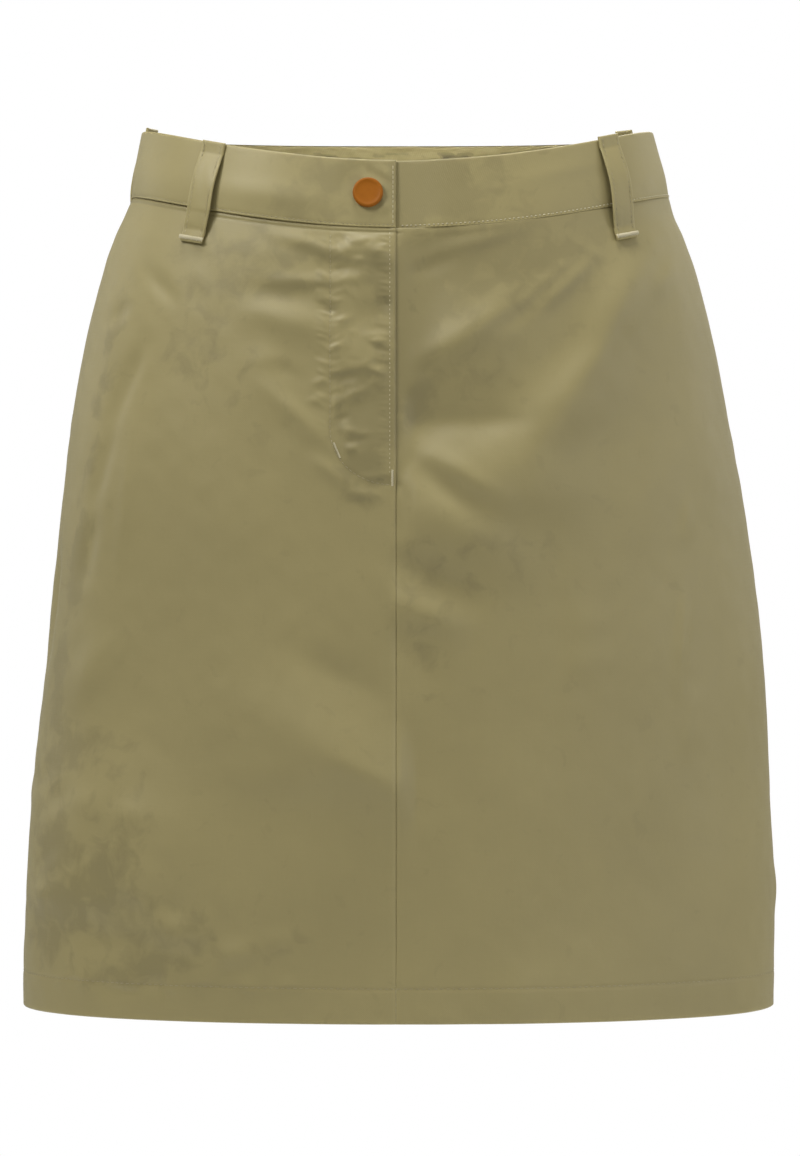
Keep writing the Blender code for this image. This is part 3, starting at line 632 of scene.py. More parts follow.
def panel_lift(around, level):
    """How far a panel's face stands off the unfolded surface."""
    spot, quarter = base(SKIRT_SECTIONS, around, level)
    turn = (around + 2.0) % 4.0 - 2.0
    x, z = spot[..., 0], spot[..., 2]
    lapped = fly_share(level)
    from_centre = smooth((np.abs(turn) * quarter - CALM) / CALM)
    calm = 1.0 - lapped * (1.0 - from_centre)
    lift = folded(FOLDS, turn, level, quarter) * smooth(-level / FOLD_START) * calm
    lift += folded(FINE_FOLDS, turn, level, quarter) * smooth(-level / FOLD_START) * calm
    u = turn * quarter
    waves = 0.28 * MM * ripple(u, level, 70 * MM, 2) + 0.07 * MM * ripple(u, level, 17 * MM, 3)
    lift += waves * smooth(-level / FOLD_START) * calm
    on_right = (turn < 0) & (turn > -1)
    start = smooth(-(level + 2.4 * MM) / (3 * MM))
    from_side = smooth((1.0 - np.abs(turn)) * quarter / SIDE_FADE)
    lift += np.where(np.abs(turn) < 1, front_creases(x, z, lapped), 0.0) * start * from_side
    rolled = 0.34 * MM * bell(x - CLOSING_X + 1.5 * MM, 1.2 * MM)
    rolled -= 0.24 * MM * bell(x - EDGE_STITCH_X, 0.9 * MM)
    lift += np.where(on_right, rolled * lapped, 0.0)
    stitched = -0.20 * MM * bell(fly_stitch_distance(x, z), 1.0 * MM)
    in_fly = (z > FLY_FOOT_Z - 2 * MM) & (x < CLOSING_X)
    lift += np.where(on_right & in_fly, stitched, 0.0)
    return lift + seam_marks(turn, quarter, level, spot)


# ---------------------------------------------------------------- meshes

def show(name, points, faces, finish, lay=None, **marks):
    """A mesh object, shaded smooth, with the cloth's own coordinates and any marked places."""
    mesh = bpy.data.meshes.new(name)
    mesh.from_pydata(points.tolist(), [], faces)
    mesh.shade_smooth()
    mesh.materials.append(finish)
    if lay is not None:
        corners = np.empty(len(mesh.loops), dtype=np.int32)
        mesh.loops.foreach_get("vertex_index", corners)
        layer = mesh.uv_layers.new(name="lay")
        layer.uv.foreach_set("vector", lay[corners].astype(np.float32).ravel())
    for mark, strength in marks.items():
        layer = mesh.attributes.new(mark, "FLOAT", "POINT")
        layer.data.foreach_set("value", strength.astype(np.float32).ravel())
    item = bpy.data.objects.new(name, mesh)
    bpy.context.scene.collection.objects.link(item)
    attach(item, "root")
    return item


def volume(points, quads):
    """Six times a closed mesh's volume, positive where its faces look outwards."""
    corners = points[quads[:, :3]]
    return np.einsum("ij,ij->i", corners[:, 0], np.cross(corners[:, 1], corners[:, 2])).sum()


def shell(name, face, back, lay, finish, **marks):
    """A closed sheet of cloth between two grids of points."""
    rows, columns = face.shape[:2]
    count = rows * columns
    index = np.arange(count).reshape(rows, columns)
    quads = np.stack((index[:-1, :-1], index[1:, :-1], index[1:, 1:], index[:-1, 1:]), axis=-1)
    quads = quads.reshape(-1, 4)
    rim = np.concatenate((index[0, :-1], index[:-1, -1], index[-1, :0:-1], index[:0:-1, 0]))
    after = np.roll(rim, -1)
    sides = np.stack((rim, after, after + count, rim + count), axis=-1)
    quads = np.concatenate((quads, quads[:, ::-1] + count, sides))
    points = np.concatenate((face.reshape(-1, 3), back.reshape(-1, 3)))
    if volume(points, quads) < 0:
        quads = quads[:, ::-1]
    lay = np.concatenate((lay.reshape(-1, 2),) * 2)
    marks = {mark: np.resize(strength, (2,) + face.shape[:2]) for mark, strength in marks.items()}
    return show(name, points, quads.tolist(), finish, lay, **marks)


def stretched(stretches):
    """Levels down a panel, from just below the waist seam."""
    levels = [-WAIST_OPEN]
    for stretch in stretches:
        start = levels[-1]
        end = stretch.end * MM
        steps = max(1, round((start - end) / (stretch.spacing * MM)))
        levels += [start + (end - start) * (step + 1) / steps for step in range(steps)]
    return np.array(levels)


def hem_wall(level):
    """A panel's thickness: its hem is turned up inside."""
    return PANEL_WALL + (HEM_WALL - PANEL_WALL) * smooth((HEM_STITCH + 2 * MM - level) / (2 * MM))


def spread(start, end, steps):
    """Evenly spaced places from start to end, for each row."""
    share = np.linspace(0.0, 1.0, steps + 1)
    return start[:, None] + (end - start)[:, None] * share


def eased_edges(places, levels):
    """The same places with closer columns at both sides, for seams that roll inwards."""
    quarter = base(SKIRT_SECTIONS, places[:, :1] * 0.0 + 0.5, levels[:, None])[1]
    steps = np.array(EDGE_COLUMNS) * MM / quarter
    clear = np.abs(places - places[:, :1]) > steps[:, -1:] * 1.3
    clear &= np.abs(places - places[:, -1:]) > steps[:, -1:] * 1.3
    keep = clear.all(axis=0)
    return np.concatenate((places[:, :1] + steps, places[:, keep], places[:, -1:] - steps[:, ::-1]),
                          axis=1)


def add_panel(name, levels, places, sink, finish):
    """A skirt panel on a grid of places; sink is how far a spot lies under its neighbour."""
    level = np.broadcast_to(levels[:, None], places.shape)
    spot, quarter = base(SKIRT_SECTIONS, places, level)
    out = outward(SKIRT_SECTIONS, places, level)
    lift = panel_lift(places, level) - sink(spot)
    thickness = hem_wall(level)
    from_side = np.minimum(np.abs(places - places[:, :1]), np.abs(places - places[:, -1:]))
    from_side = from_side * quarter
    hem_round = rounded(level + LENGTH, HEM_WALL * ROUND_EDGE)
    closing = spot[..., 0] - CLOSING_X
    free = (np.abs(closing) < 3 * MM) & (closing < 0) & (spot[..., 1] < 0)
    roll = SEAM_ROLL + (PANEL_WALL * ROUND_CUT - SEAM_ROLL) * tucked(spot[..., 2])
    radius = np.where(free, roll, SEAM_ROLL)
    edge_round = rounded(from_side, radius) * (level > -LENGTH + HEM_WALL)
    fallen = np.maximum(hem_round, edge_round)
    face = spot + out * (lift - fallen)[..., None]
    back = spot + out * (lift - thickness + fallen)[..., None]
    lay = np.stack((places * quarter, level), axis=-1)
    wear = np.maximum(bell(level + LENGTH, 2 * MM), 0.5 * bell(from_side, 1.5 * MM))
    x, z = spot[..., 0], spot[..., 2]
    # Painted shade from the tables above: darker patches on the fronts and the backs.
    nap = np.where(spot[..., 1] < 0, creased(FRONT_PAINTED_SHADE, x, z) / CREASE_DEPTH,
                   folded(BACK_PAINTED_SHADE, places, level, quarter) / FOLD_DEPTH) / MM
    return shell(name, face, back, lay, finish, wear=wear, nap=nap)


def no_sink(spot):
    return np.zeros(spot.shape[:-1])


def left_front_sink(spot):
    """The left front lies under the right one, and rises slowly beyond its edge."""
    x, z = spot[..., 0], spot[..., 2]
    above_end = smooth((z - FLY_END) / DIP_FADE)
    start = 3 * MM * above_end
    sunk = (PANEL_WALL + LAYER_GAP) * (1.0 - smooth((x - start) / (4 * MM + 34 * MM * above_end)))
    valley = VALLEY * bell(x - 15 * MM, 11 * MM) * smooth((-FRONT_DIP - z) / (14 * MM))
    beyond = x - CLOSING_X
    stepped = SEAM_STEP * bell(beyond, SEAM_EASE) * (1.0 - tucked(z))
    stepped *= smooth((z - HEM_STITCH - 2 * MM) / SEAM_EASE)
    return sunk * tucked(z) + (valley * above_end + stepped) * (beyond > 0)


def panel_columns(name, levels):
    """Places round the cloth of a panel's columns, for each level."""
    middle = np.full(len(levels), 0.5)
    gap = SEAM_OPEN / 2 / base(SKIRT_SECTIONS, middle, levels)[1]
    if name == "front_right":
        fine = around_at(SKIRT_SECTIONS, levels, FINE_FROM_X)
        edge = around_at(SKIRT_SECTIONS, levels, CLOSING_X - SEAM_OPEN / 2)
        first = spread(gap - 1.0, fine, RIGHT_STEPS[0])
        second = spread(fine, edge, RIGHT_STEPS[1])
        places = np.concatenate((first[:, :-1], second), axis=1)
    elif name == "front_left":
        height = levels - FRONT_DIP * (1.0 + levels / LENGTH)
        lap = smooth((height - FLY_END) / LAP_TAPER)
        edge = CLOSING_X + SEAM_OPEN / 2
        start = around_at(SKIRT_SECTIONS, levels, edge - FLY_UNDERLAP * lap)
        clear = around_at(SKIRT_SECTIONS, levels, edge + LAP_CLEAR)
        first = spread(start, clear, LEFT_STEPS[0])
        second = spread(clear, 1.0 - gap, LEFT_STEPS[1])
        places = np.concatenate((first[:, :-1], second), axis=1)
    elif name == "back_left":
        places = spread(1.0 + gap, 2.0 - gap, BACK_STEPS)
    else:
        places = spread(gap - 2.0, -1.0 - gap, BACK_STEPS)
    return eased_edges(places, levels)


def cut_size(levels, around):
    """A quarter panel's flat cut: its width at the hem, its length and its area."""
    quarter = base(SKIRT_SECTIONS, np.full(len(levels), around), levels)[1]
    heights = np.abs(np.diff(levels))
    area = float((heights * (quarter[1:] + quarter[:-1]) / 2).sum())
    return float(quarter.max()), float(heights.sum()), area


def add_panels(finish):
    """The skirt's four panels, each cut with its hem's turning."""
    rows = {"front_right": FLY_ROWS, "front_left": FRONT_ROWS}
    for name in ("front_right", "front_left", "back_left", "back_right"):
        levels = stretched(rows.get(name, BACK_ROWS))
        sink = left_front_sink if name == "front_left" else no_sink
        piece = add_panel(name + "_cloth", levels, panel_columns(name, levels), sink, finish)
        width, length, area = cut_size(levels, 0.5 if "front" in name else 1.5)
        length += HEM_DEPTH
        area += HEM_DEPTH * width
        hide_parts(name)


# ---------------------------------------------------------------- waistband

def band_lift(around, level):
    """How far the band's face stands off its carrier: proud, softly pillowed and creased."""
    spot, quarter = base(BAND_SECTIONS, around, level)
    turn = (around + 2.0) % 4.0 - 2.0
    share = np.clip(level / BAND_HEIGHT, 0.0, 1.0)
    lift = BAND_PROUD + 0.25 * MM * np.sin(math.pi * share) ** 0.6
    front = np.abs(turn) < 1
    lift = lift + np.where(front, creased(BAND_CREASES, spot[..., 0], spot[..., 2]), 0.0)
    lift += 0.10 * MM * ripple(turn * quarter, level, 40 * MM, 5)
    lift -= 0.14 * MM * bell(level - BAND_STITCH, 0.6 * MM)
    return lift


def band_face(places, level):
    """Points of the band's carrier at places along it, the directions out, the lengths of the
    quarter sections, how far the face stands off, and 1 where the band steps under itself."""
    around = -places
    spot, quarter = base(BAND_SECTIONS, around, level)
    out = outward(BAND_SECTIONS, around, level)
    step = np.where(places > LEFT_SEAM, stepped_under(spot[..., 0]), 0.0)
    lift = band_lift(around, level) * (1.0 - step) + UNDER_BAND * step
    return spot, out, quarter, lift, step


def band_columns():
    """Places along the band from its button end, round the back, to its end underneath."""
    start = -around_at(BAND_SECTIONS, 0.0, CLOSING_X)[0]
    finish = 4.0 - around_at(BAND_SECTIONS, 0.0, CLOSING_X - BAND_UNDERLAP)[0]
    lap_from = 4.0 - around_at(BAND_SECTIONS, 0.0, CLOSING_X + 1.1 * BAND_EASE)[0]
    lap_to = 4.0 - around_at(BAND_SECTIONS, 0.0, CLOSING_X)[0]
    fine_to = -around_at(BAND_SECTIONS, 0.0, FINE_FROM_X)[0]
    stops = (start, start + 0.012, fine_to, lap_from, lap_to, finish)
    places = [np.array([start])]
    for low, high, steps in zip(stops, stops[1:], BAND_STEPS):
        places.append(np.linspace(low, high, steps + 1)[1:])
    return np.concatenate(places)


def edge_rows(height, spacing):
    """Rows up a strip, close together at both rolled edges."""
    edge = np.array((0.0, 0.12, 0.3, 0.55, 0.85, 1.2, 1.7, 2.3, 3.0)) * MM
    inner = np.linspace(edge[-1], height - edge[-1], max(2, round(height / spacing)))
    return np.concatenate((edge[:-1], inner, height - edge[-2::-1]))


def add_waistband(finish):
    """The band: one strip, stepped under itself at the lap, with a crumpled inner back face."""
    places = band_columns()[None, :]
    tall = BAND_HEIGHT - WAIST_OPEN
    heights = edge_rows(tall, 1.7 * MM)[:, None]
    place, height = np.broadcast_arrays(places, heights)
    level = height + WAIST_OPEN
    spot, out, quarter, lift, step = band_face(place, level)
    from_end = np.minimum(place - places[0, 0], places[0, -1] - place) * quarter
    radius = BAND_WALL * ROUND_EDGE
    sewn = np.where((place > LEFT_SEAM) & (step < 1), FLAT_EDGE, SEWN_EDGE)
    fallen = np.maximum(rounded(height, sewn), rounded(tall - height, radius))
    fallen = np.maximum(fallen, rounded(from_end, radius))
    inner_back = smooth((np.abs(2.0 - place) - 1.1) / -0.2)
    u = place * quarter
    crinkle = 0.34 * MM * ripple(u, level, 9 * MM, 8)
    crinkle += 0.20 * MM * ripple(u, level, 5 * MM, 9)
    crinkle *= inner_back * smooth((radius * 3 - fallen * 3) / radius)
    leaning = LEAN * inner_back * np.clip(1.0 - (BAND_HEIGHT - level) / LEAN_HEIGHT, 0, 1)
    face = spot + out * (lift - fallen)[..., None]
    inset = BAND_WALL - fallen + np.abs(crinkle) - 0.2 * crinkle - leaning
    back = spot + out * (lift - inset)[..., None]
    lay = np.stack((place * quarter, level), axis=-1)
    edges = np.minimum(height, BAND_HEIGHT - height)
    wear = np.maximum(bell(edges, 1.3 * MM), bell(from_end, 1.5 * MM))
    x, z = spot[..., 0], spot[..., 2]
    # Painted shade on the band's face, from the table above.
    nap = np.where(spot[..., 1] < 0, creased(BAND_PAINTED_SHADE, x, z), 0.0) / CREASE_DEPTH / MM
    # Painted shade: darker blotches in the crumples low on the inner back face.
    crumple_shade = smooth((ripple(u, level * 2.2, 12 * MM, 10) - 0.1) / 0.6)
    crumple_shade *= smooth((ripple(u, level, 60 * MM, 13) + 0.7) / 0.8)
    crumple_shade *= inner_back * smooth((BAND_HEIGHT - 2.5 * MM - level) / (3 * MM))
    crumple_shade *= smooth((level - BAND_HEIGHT + 13 * MM) / (6 * MM))
    # The inner back face is painted paler all over for the light that falls on it, through the same
    # mark as the worn edges.
    piece = shell("waistband_cloth", face, back, lay, finish,
                  wear=np.stack((wear, np.maximum(wear, inner_back))),
                  nap=np.stack((nap, 2.3 * crumple_shade)))
    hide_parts("waistband")


# ---------------------------------------------------------------- belt loops

def loop_height(loop):
    """A loop's length from its top to its foot."""
    return loop.above * MM + BAND_HEIGHT + LOOP_BELOW


def loop_rise(share, height):
    """A loop's face and back, as distances from its carrier, at a share of the way down."""
    pad = LOOP_PAD / height
    open_share = np.clip((share - pad) / (1.0 - 2.0 * pad), 0.0, 1.0)
    rise = np.sin(math.pi * open_share) ** 0.8
    seat = SEAM_GAP + 2 * TAPE
    face = seat + (LOOP_BOW - seat) * rise
    back = np.where(rise > 1e-6, np.maximum(SEAM_GAP, face - TAPE), SEAM_GAP)
    return face, back


def loop_points(loop, share, across, out):
    """Points of a loop: share runs from its top to its foot, across from -1 to 1, and out is the
    distance from what carries it."""
    level = BAND_HEIGHT + loop.above * MM - loop_height(loop) * share
    middle = loop.top + (loop.foot - loop.top) * share
    on_band = level >= 0
    points = np.empty(share.shape + (3,))
    normals = np.empty(share.shape + (3,))
    for rows, here in ((BAND_SECTIONS, on_band), (SKIRT_SECTIONS, ~on_band)):
        if not here.any():
            continue
        quarter = base(rows, middle[here], level[here])[1]
        around = middle[here] + across[here] * LOOP_WIDTH / 2 / quarter
        spot, _ = base(rows, around, level[here])
        normals[here] = outward(rows, around, level[here])
        if rows is BAND_SECTIONS:
            stand = BAND_PROUD + out[here]
        else:
            blend = smooth(-level[here] / (5 * MM))
            lift = panel_lift(around, level[here]) * blend
            stand = lift + out[here] + BAND_PROUD * (1.0 - blend)
        points[here] = spot + normals[here] * stand[:, None]
    return points, normals


def add_loop(loop, finish, thread, bright):
    """A belt loop: a strip bowed off the band between its two pads."""
    height = loop_height(loop)
    shares = edge_rows(height, 1.1 * MM) / height
    half = np.array((0.1, 0.3, 0.5, 0.66, 0.76, 0.86, 0.94, 0.985, 1.0))
    sides = np.concatenate((-half[::-1], half))
    share, across = np.broadcast_arrays(shares[:, None], sides[None, :])
    face, back = loop_rise(share, height)
    thick = face - back
    from_side = (1.0 - np.abs(across)) * LOOP_WIDTH / 2
    from_end = np.minimum(share, 1.0 - share) * height
    radius = thick * ROUND_CUT
    fallen = np.maximum(rounded(from_side, radius), rounded(from_end, radius))
    groove = 0.14 * MM * bell(from_side - 2.0 * MM, 0.6 * MM)
    waves = 0.12 * MM * ripple(share * height, across * LOOP_WIDTH, 13 * MM, 12)
    outer, _ = loop_points(loop, share, across, face - fallen - groove + waves)
    inner, _ = loop_points(loop, share, across, back + fallen)
    lay = np.stack((across * LOOP_WIDTH / 2, share * height), axis=-1)
    wear = np.maximum(bell(from_side, 0.9 * MM), bell(from_end, 1.0 * MM))
    piece = shell(loop.name + "_cloth", outer, inner, lay, finish, wear=wear)
    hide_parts(loop.name)
    sew_loop(loop, height, thread, bright)


def sew_loop(loop, height, thread, bright):
    """Edge stitches down both sides of a loop, and a bar of close stitches at its foot."""
    starts, ends, outs = [], [], []
    steps = int((height - 4 * MM) / PITCH)
    for side in (-1, 1):
        top = (2 * MM + np.arange(steps) * PITCH) / height
        foot = top + STITCH / height
        across = np.full(steps, side * (1.0 - 2.0 * MM / (LOOP_WIDTH / 2)))
        first, out = loop_points(loop, top, across, loop_rise(top, height)[0] - 0.1 * MM)
        second, _ = loop_points(loop, foot, across, loop_rise(foot, height)[0] - 0.1 * MM)
        starts.append(first)
        ends.append(second)
        outs.append(out)
    add_stitches(loop.name + "_stitches", np.concatenate(starts), np.concatenate(ends),
                 np.concatenate(outs), THREAD * 0.85, thread)
    count = 30
    across = np.linspace(-1.04, 1.04, count)
    lean = np.where(np.arange(count) % 2 == 0, 0.012, -0.012)
    level = height - 2.0 * MM
    half = 1.15 * MM
    first_share = np.full(count, (level - half) / height)
    last_share = np.full(count, (level + half) / height)
    rise = np.full(count, 2.8 * MM)
    first, out = loop_points(loop, first_share, across - lean, rise)
    last, _ = loop_points(loop, last_share, across + lean, rise)
    add_stitches(loop.name + "_bar", first, last, out, 0.30 * MM, bright)


# ---------------------------------------------------------------- shorts

def shorts_inset(level):
    """How far the shorts hang inside the skirt's face."""
    falling = smooth(level / SHORTS_HIP)
    return SHORTS_WAIST_INSET + (SHORTS_HIP_INSET - SHORTS_WAIST_INSET) * falling


def lap_inset(x, height):
    """How much further in they are behind the fly's lap."""
    near_lap = 1.0 - smooth((np.abs(x) - LAP_ZONE) / LAP_ZONE)
    return (CLOTH + SEAM_GAP) * near_lap * fly_share(height)


def halved(inside, low, high):
    """The edge of a region between low and high, where inside is true up to it."""
    for _ in range(36):
        middle = (low + high) / 2
        within = inside(middle)
        low = np.where(within, middle, low)
        high = np.where(within, high, middle)
    return low


def leg_radius(side, angle, level):
    """Distance from a leg's middle to its cloth: the hips' outline, turning into the leg's."""
    fork = np.clip((FORK_TOP - level) / (FORK_TOP - CROTCH), 0.0, 1.0) ** FORK_POWER
    section = between(SKIRT_SECTIONS, level)
    hip_middle = LEGS[-1].middle * MM
    inset = shorts_inset(level)
    reach = section[:, LEFT if side > 0 else RIGHT] * MM - inset
    depth = np.where(angle > 0, section[:, BACK], section[:, FRONT]) * MM - inset

    def inside(radius):
        x = np.abs(hip_middle + radius * np.cos(angle)) / reach
        y = np.abs(radius * np.sin(angle)) / depth
        return x ** section[:, POWER] + y ** section[:, POWER] < 1.0

    hip = halved(inside, np.zeros(len(angle)), 2 * reach)
    leg = between(LEGS, np.minimum(level, CROTCH))
    own = MM / np.hypot(np.cos(angle) / leg[:, 2], np.sin(angle) / leg[:, 3])
    return own + (hip - own) * (1.0 - fork), leg[:, 1] * MM


def end_angle(side, level, back):
    """Where a leg's cloth meets the crotch seam, or its own other edge at the inseam."""
    sign = 1 if back else -1
    radius, middle = leg_radius(side, np.full(len(level), sign * math.pi), level)

    def inside(angle):
        here, centre = leg_radius(side, sign * angle, level)
        return centre + here * np.cos(angle) > SEAM_OPEN / 2

    most = math.pi - SEAM_OPEN / 2 / radius
    found = halved(inside, np.full(len(level), math.pi / 2), np.full(len(level), math.pi))
    return sign * np.where(middle - radius >= SEAM_OPEN / 2 - 1e-7, most, np.minimum(found, most))


def shorts_points(side, turn, level):
    """Points of the shorts' face: turn runs from -1 at the front edge to 1 at the back one."""
    shape = turn.shape
    turn, level = turn.ravel(), level.ravel()
    ends = np.where(turn > 0, end_angle(side, level, True), end_angle(side, level, False))
    angle = np.abs(turn) * ends
    radius, middle = leg_radius(side, angle, level)
    x = middle + radius * np.cos(angle)
    y = radius * np.sin(angle)
    section = between(SKIRT_SECTIONS, np.maximum(level, CROTCH))
    reach = section[:, LEFT if side > 0 else RIGHT] * MM
    drop = np.where(y < 0, FRONT_DIP, -BACK_RISE)
    fade = 1.0 - smooth(level / CROTCH)
    height = level - drop * np.maximum(0.0, 1.0 - (x / reach) ** 2) * fade
    y = np.where(y < 0, y + lap_inset(x, height), y)
    return np.stack((side * x, y, height), axis=-1).reshape(shape + (3,))


def shorts_surface(side, turn, level):
    """Points and outward directions of the shorts' face, with its soft wrinkles."""
    points = shorts_points(side, turn, level)
    step_turn, step_level = 0.01, 1.0 * MM
    after = shorts_points(side, np.minimum(1.0, turn + step_turn), level)
    before = shorts_points(side, np.maximum(-1.0, turn - step_turn), level)
    below = shorts_points(side, turn, level - step_level)
    out = np.cross(below - points, after - before) * side
    out[..., 2] = 0.0
    out = unit(out)
    calm = smooth((SHORTS_TOP - level) / (30 * MM)) * smooth((1.0 - np.abs(turn)) / 0.1)
    wrinkle = 0.35 * MM * ripple(turn * 0.12, level * 1.4, 34 * MM, 21) * calm
    hem_mark = 0.14 * MM * bell(level - SHORTS_HEM - 16 * MM, 0.9 * MM)
    return points + out * (wrinkle - hem_mark)[..., None], out


def add_shorts(side, back, name, finish, thread):
    """The front or the back of one leg, with a turned and stitched hem."""
    height = SHORTS_TOP - SHORTS_HEM
    levels = SHORTS_HEM + edge_rows(height, 4.6 * MM)[::-1]
    end = 1.0 if back else -1.0
    half_gap = SEAM_OPEN / 2 / (95 * MM * math.pi)
    shares = np.concatenate(((0.0, 0.004, 0.012), np.linspace(0.03, 0.97, 44), (0.988, 0.996, 1.0)))
    turns = end * (half_gap + (1.0 - half_gap) * shares)
    level, turn = np.broadcast_arrays(levels[:, None], turns[None, :])
    face, out = shorts_surface(side, turn, level)
    from_side = np.minimum(shares, 1.0 - shares)[None, :] * SHORTS_WIDTH
    from_end = np.minimum(SHORTS_TOP - level, level - SHORTS_HEM)
    fallen = np.maximum(rounded(from_side, SEAM_ROLL), rounded(from_end, KNIT_WALL * ROUND_CUT))
    seam = 0.25 * MM * bell(from_side, 1.6 * MM)
    outer = face - out * (fallen + seam)[..., None]
    inner = face - out * (KNIT_WALL - fallen + seam)[..., None]
    lay = np.stack((turn * SHORTS_WIDTH, level), axis=-1)
    wear = 0.5 * bell(from_end, 1.5 * MM)
    piece = shell(name + "_knit", outer, inner, lay, finish, wear=wear)
    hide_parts(name)
    for row, up in enumerate(SHORTS_STITCH_ROWS):
        turn = end * np.linspace(0.012, 0.985, SHORTS_STITCHES)
        level = np.full(SHORTS_STITCHES, SHORTS_HEM + up)
        first, out = shorts_surface(side, turn, level)
        last, _ = shorts_surface(side, turn + end * 0.0075, level)
        add_stitches(f"{name}_stitches_{row + 1}", first, last, out, THREAD, thread)


# ---------------------------------------------------------------- sewing

def add_stitches(name, starts, ends, outs, radius, finish):
    """Short arched stitches, each a thin closed tube that dips into the cloth at both ends."""
    sides = 6
    rings = ((0.0, 0.30, -0.9), (0.14, 0.85, 0.1), (0.5, 1.0, 0.6), (0.86, 0.85, 0.1),
             (1.0, 0.30, -0.9))
    axis = ends - starts
    beside = unit(np.cross(outs, axis))
    up = unit(np.cross(axis, beside))
    angles = 2 * math.pi * np.arange(sides) / sides
    spokes = (beside[:, None] * np.cos(angles)[None, :, None]
              + up[:, None] * np.sin(angles)[None, :, None])
    layers = []
    for along, girth, rise in rings:
        middle = starts + axis * along + up * rise * radius
        layers.append(middle[:, None] + spokes * girth * radius)
    points = np.stack(layers, axis=1)
    count = len(starts)
    each = len(rings) * sides
    faces = []
    for stitch in range(count):
        first = stitch * each
        for ring in range(len(rings) - 1):
            low = first + ring * sides
            for step in range(sides):
                beyond = (step + 1) % sides
                faces.append((low + step, low + beyond, low + sides + beyond, low + sides + step))
        faces.append(tuple(range(first + sides - 1, first - 1, -1)))
        faces.append(tuple(range(first + each - sides, first + each)))
    piece = show(name, points.reshape(-1, 3), faces, finish)


def on_skirt(around, level, lift=STITCH_LIFT):
    """Points just off the skirt's cloth, and the directions out of it."""
    out = outward(SKIRT_SECTIONS, around, level)
    spot, _ = base(SKIRT_SECTIONS, around, level)
    return spot + out * (panel_lift(around, level) + lift)[:, None], out


def on_front(x, z, lift=STITCH_LIFT):
    """The same on the front, for points given by x and z."""
    return on_skirt(*front_place(SKIRT_SECTIONS, x, z), lift)


def stitched_line(name, x, z, thread, radius=THREAD, pitch=PITCH, length=STITCH):
    """A row of stitches on the front, along a line given by x and z."""
    line = np.stack((x, z), axis=-1)
    steps = np.linalg.norm(np.diff(line, axis=0), axis=1)
    travelled = np.concatenate(([0.0], np.cumsum(steps)))
    starts = np.arange(0.0, travelled[-1] - pitch, pitch)
    first = [np.interp(starts, travelled, line[:, axis]) for axis in (0, 1)]
    last = [np.interp(starts + length, travelled, line[:, axis]) for axis in (0, 1)]
    begin, out = on_front(*first)
    end, _ = on_front(*last)
    add_stitches(name, begin, end, out, radius, thread)


def bar(name, x_from, z_from, x_to, z_to, width, thread):
    """A bar of close stitches on the front, across the line from one point to another."""
    line = np.array((x_to - x_from, z_to - z_from))
    length = float(np.hypot(*line))
    count = int(length / BAR_PITCH)
    share = np.linspace(0.0, 1.0, count)
    ahead = line / length
    beside = np.array((-ahead[1], ahead[0])) * width / 2
    lean = ahead * 0.12 * MM * np.where(np.arange(count) % 2 == 0, 1.0, -1.0)[:, None]
    middle = np.array((x_from, z_from)) + line * share[:, None]
    first, last = middle + beside + lean, middle - beside - lean
    begin, out = on_front(first[:, 0], first[:, 1], BAR_LIFT)
    end, _ = on_front(last[:, 0], last[:, 1], BAR_LIFT)
    add_stitches(name, begin, end, out, 0.27 * MM, thread)


def fly_line():
    """The fly's row of stitches: straight down, then round its foot to the edge."""
    straight_z = np.linspace(FLY_STITCH_TOP, FLY_CURVE_Z, 60)
    angle = np.linspace(0.0, math.pi / 2, 30)[1:]
    x = FLY_STITCH_END_X - (FLY_STITCH_END_X - FLY_STITCH_X) * np.cos(angle)
    z = FLY_CURVE_Z - (FLY_CURVE_Z - FLY_FOOT_Z) * np.sin(angle)
    return np.concatenate((np.full(60, FLY_STITCH_X), x)), np.concatenate((straight_z, z))


def sew_band(thread, bright):
    """The row of stitches along the band's lower edge, in a brighter yarn on the left front."""
    start = -around_at(BAND_SECTIONS, BAND_STITCH, CLOSING_X - 1.5 * MM)[0]
    finish = 4.0 - around_at(BAND_SECTIONS, BAND_STITCH, CLOSING_X + 2 * MM)[0]
    quarter = float(base(BAND_SECTIONS, np.array([0.5]), np.array([BAND_STITCH]))[1][0])
    rows = (("waistband_stitches", start, LEFT_SEAM, THREAD, thread),
            ("waistband_stitches_left", LEFT_SEAM, finish, THREAD * 1.5, bright))
    for name, first, last, radius, yarn in rows:
        places = np.arange(first, last, CLOSE_PITCH / quarter)
        level = np.full(len(places), BAND_STITCH)
        ends = []
        for shift in (0.0, SHORT_STITCH / quarter):
            spot, out, _, lift, _ = band_face(places + shift, level)
            ends.append(spot + out * (lift + 0.12 * MM)[:, None])
        add_stitches(name, ends[0], ends[1], out, radius, yarn)


def sew_band_end(thread):
    """The row of stitches up the band's button end."""
    levels = np.arange(2 * MM, BAND_HEIGHT - 3 * MM, PITCH)
    ends = []
    for shift in (0.0, STITCH):
        level = levels + shift
        places = -around_at(BAND_SECTIONS, level, CLOSING_X - 1.6 * MM)
        spot, out, _, lift, _ = band_face(places, level)
        ends.append(spot + out * (lift + STITCH_LIFT)[:, None])
    add_stitches("waistband_end_stitches", ends[0], ends[1], out, THREAD, thread)


def sew_hem(thread):
    """The hem's row of stitches, all the way round."""
    around = -2.0 + 4.0 * (np.arange(HEM_STITCHES) + 0.5) / HEM_STITCHES
    level = np.full(HEM_STITCHES, HEM_STITCH)
    begin, out = on_skirt(around, level)
    end, _ = on_skirt(around + 4.0 / HEM_STITCHES * 0.66, level)
    add_stitches("hem_stitches", begin, end, out, THREAD * 0.8, thread)


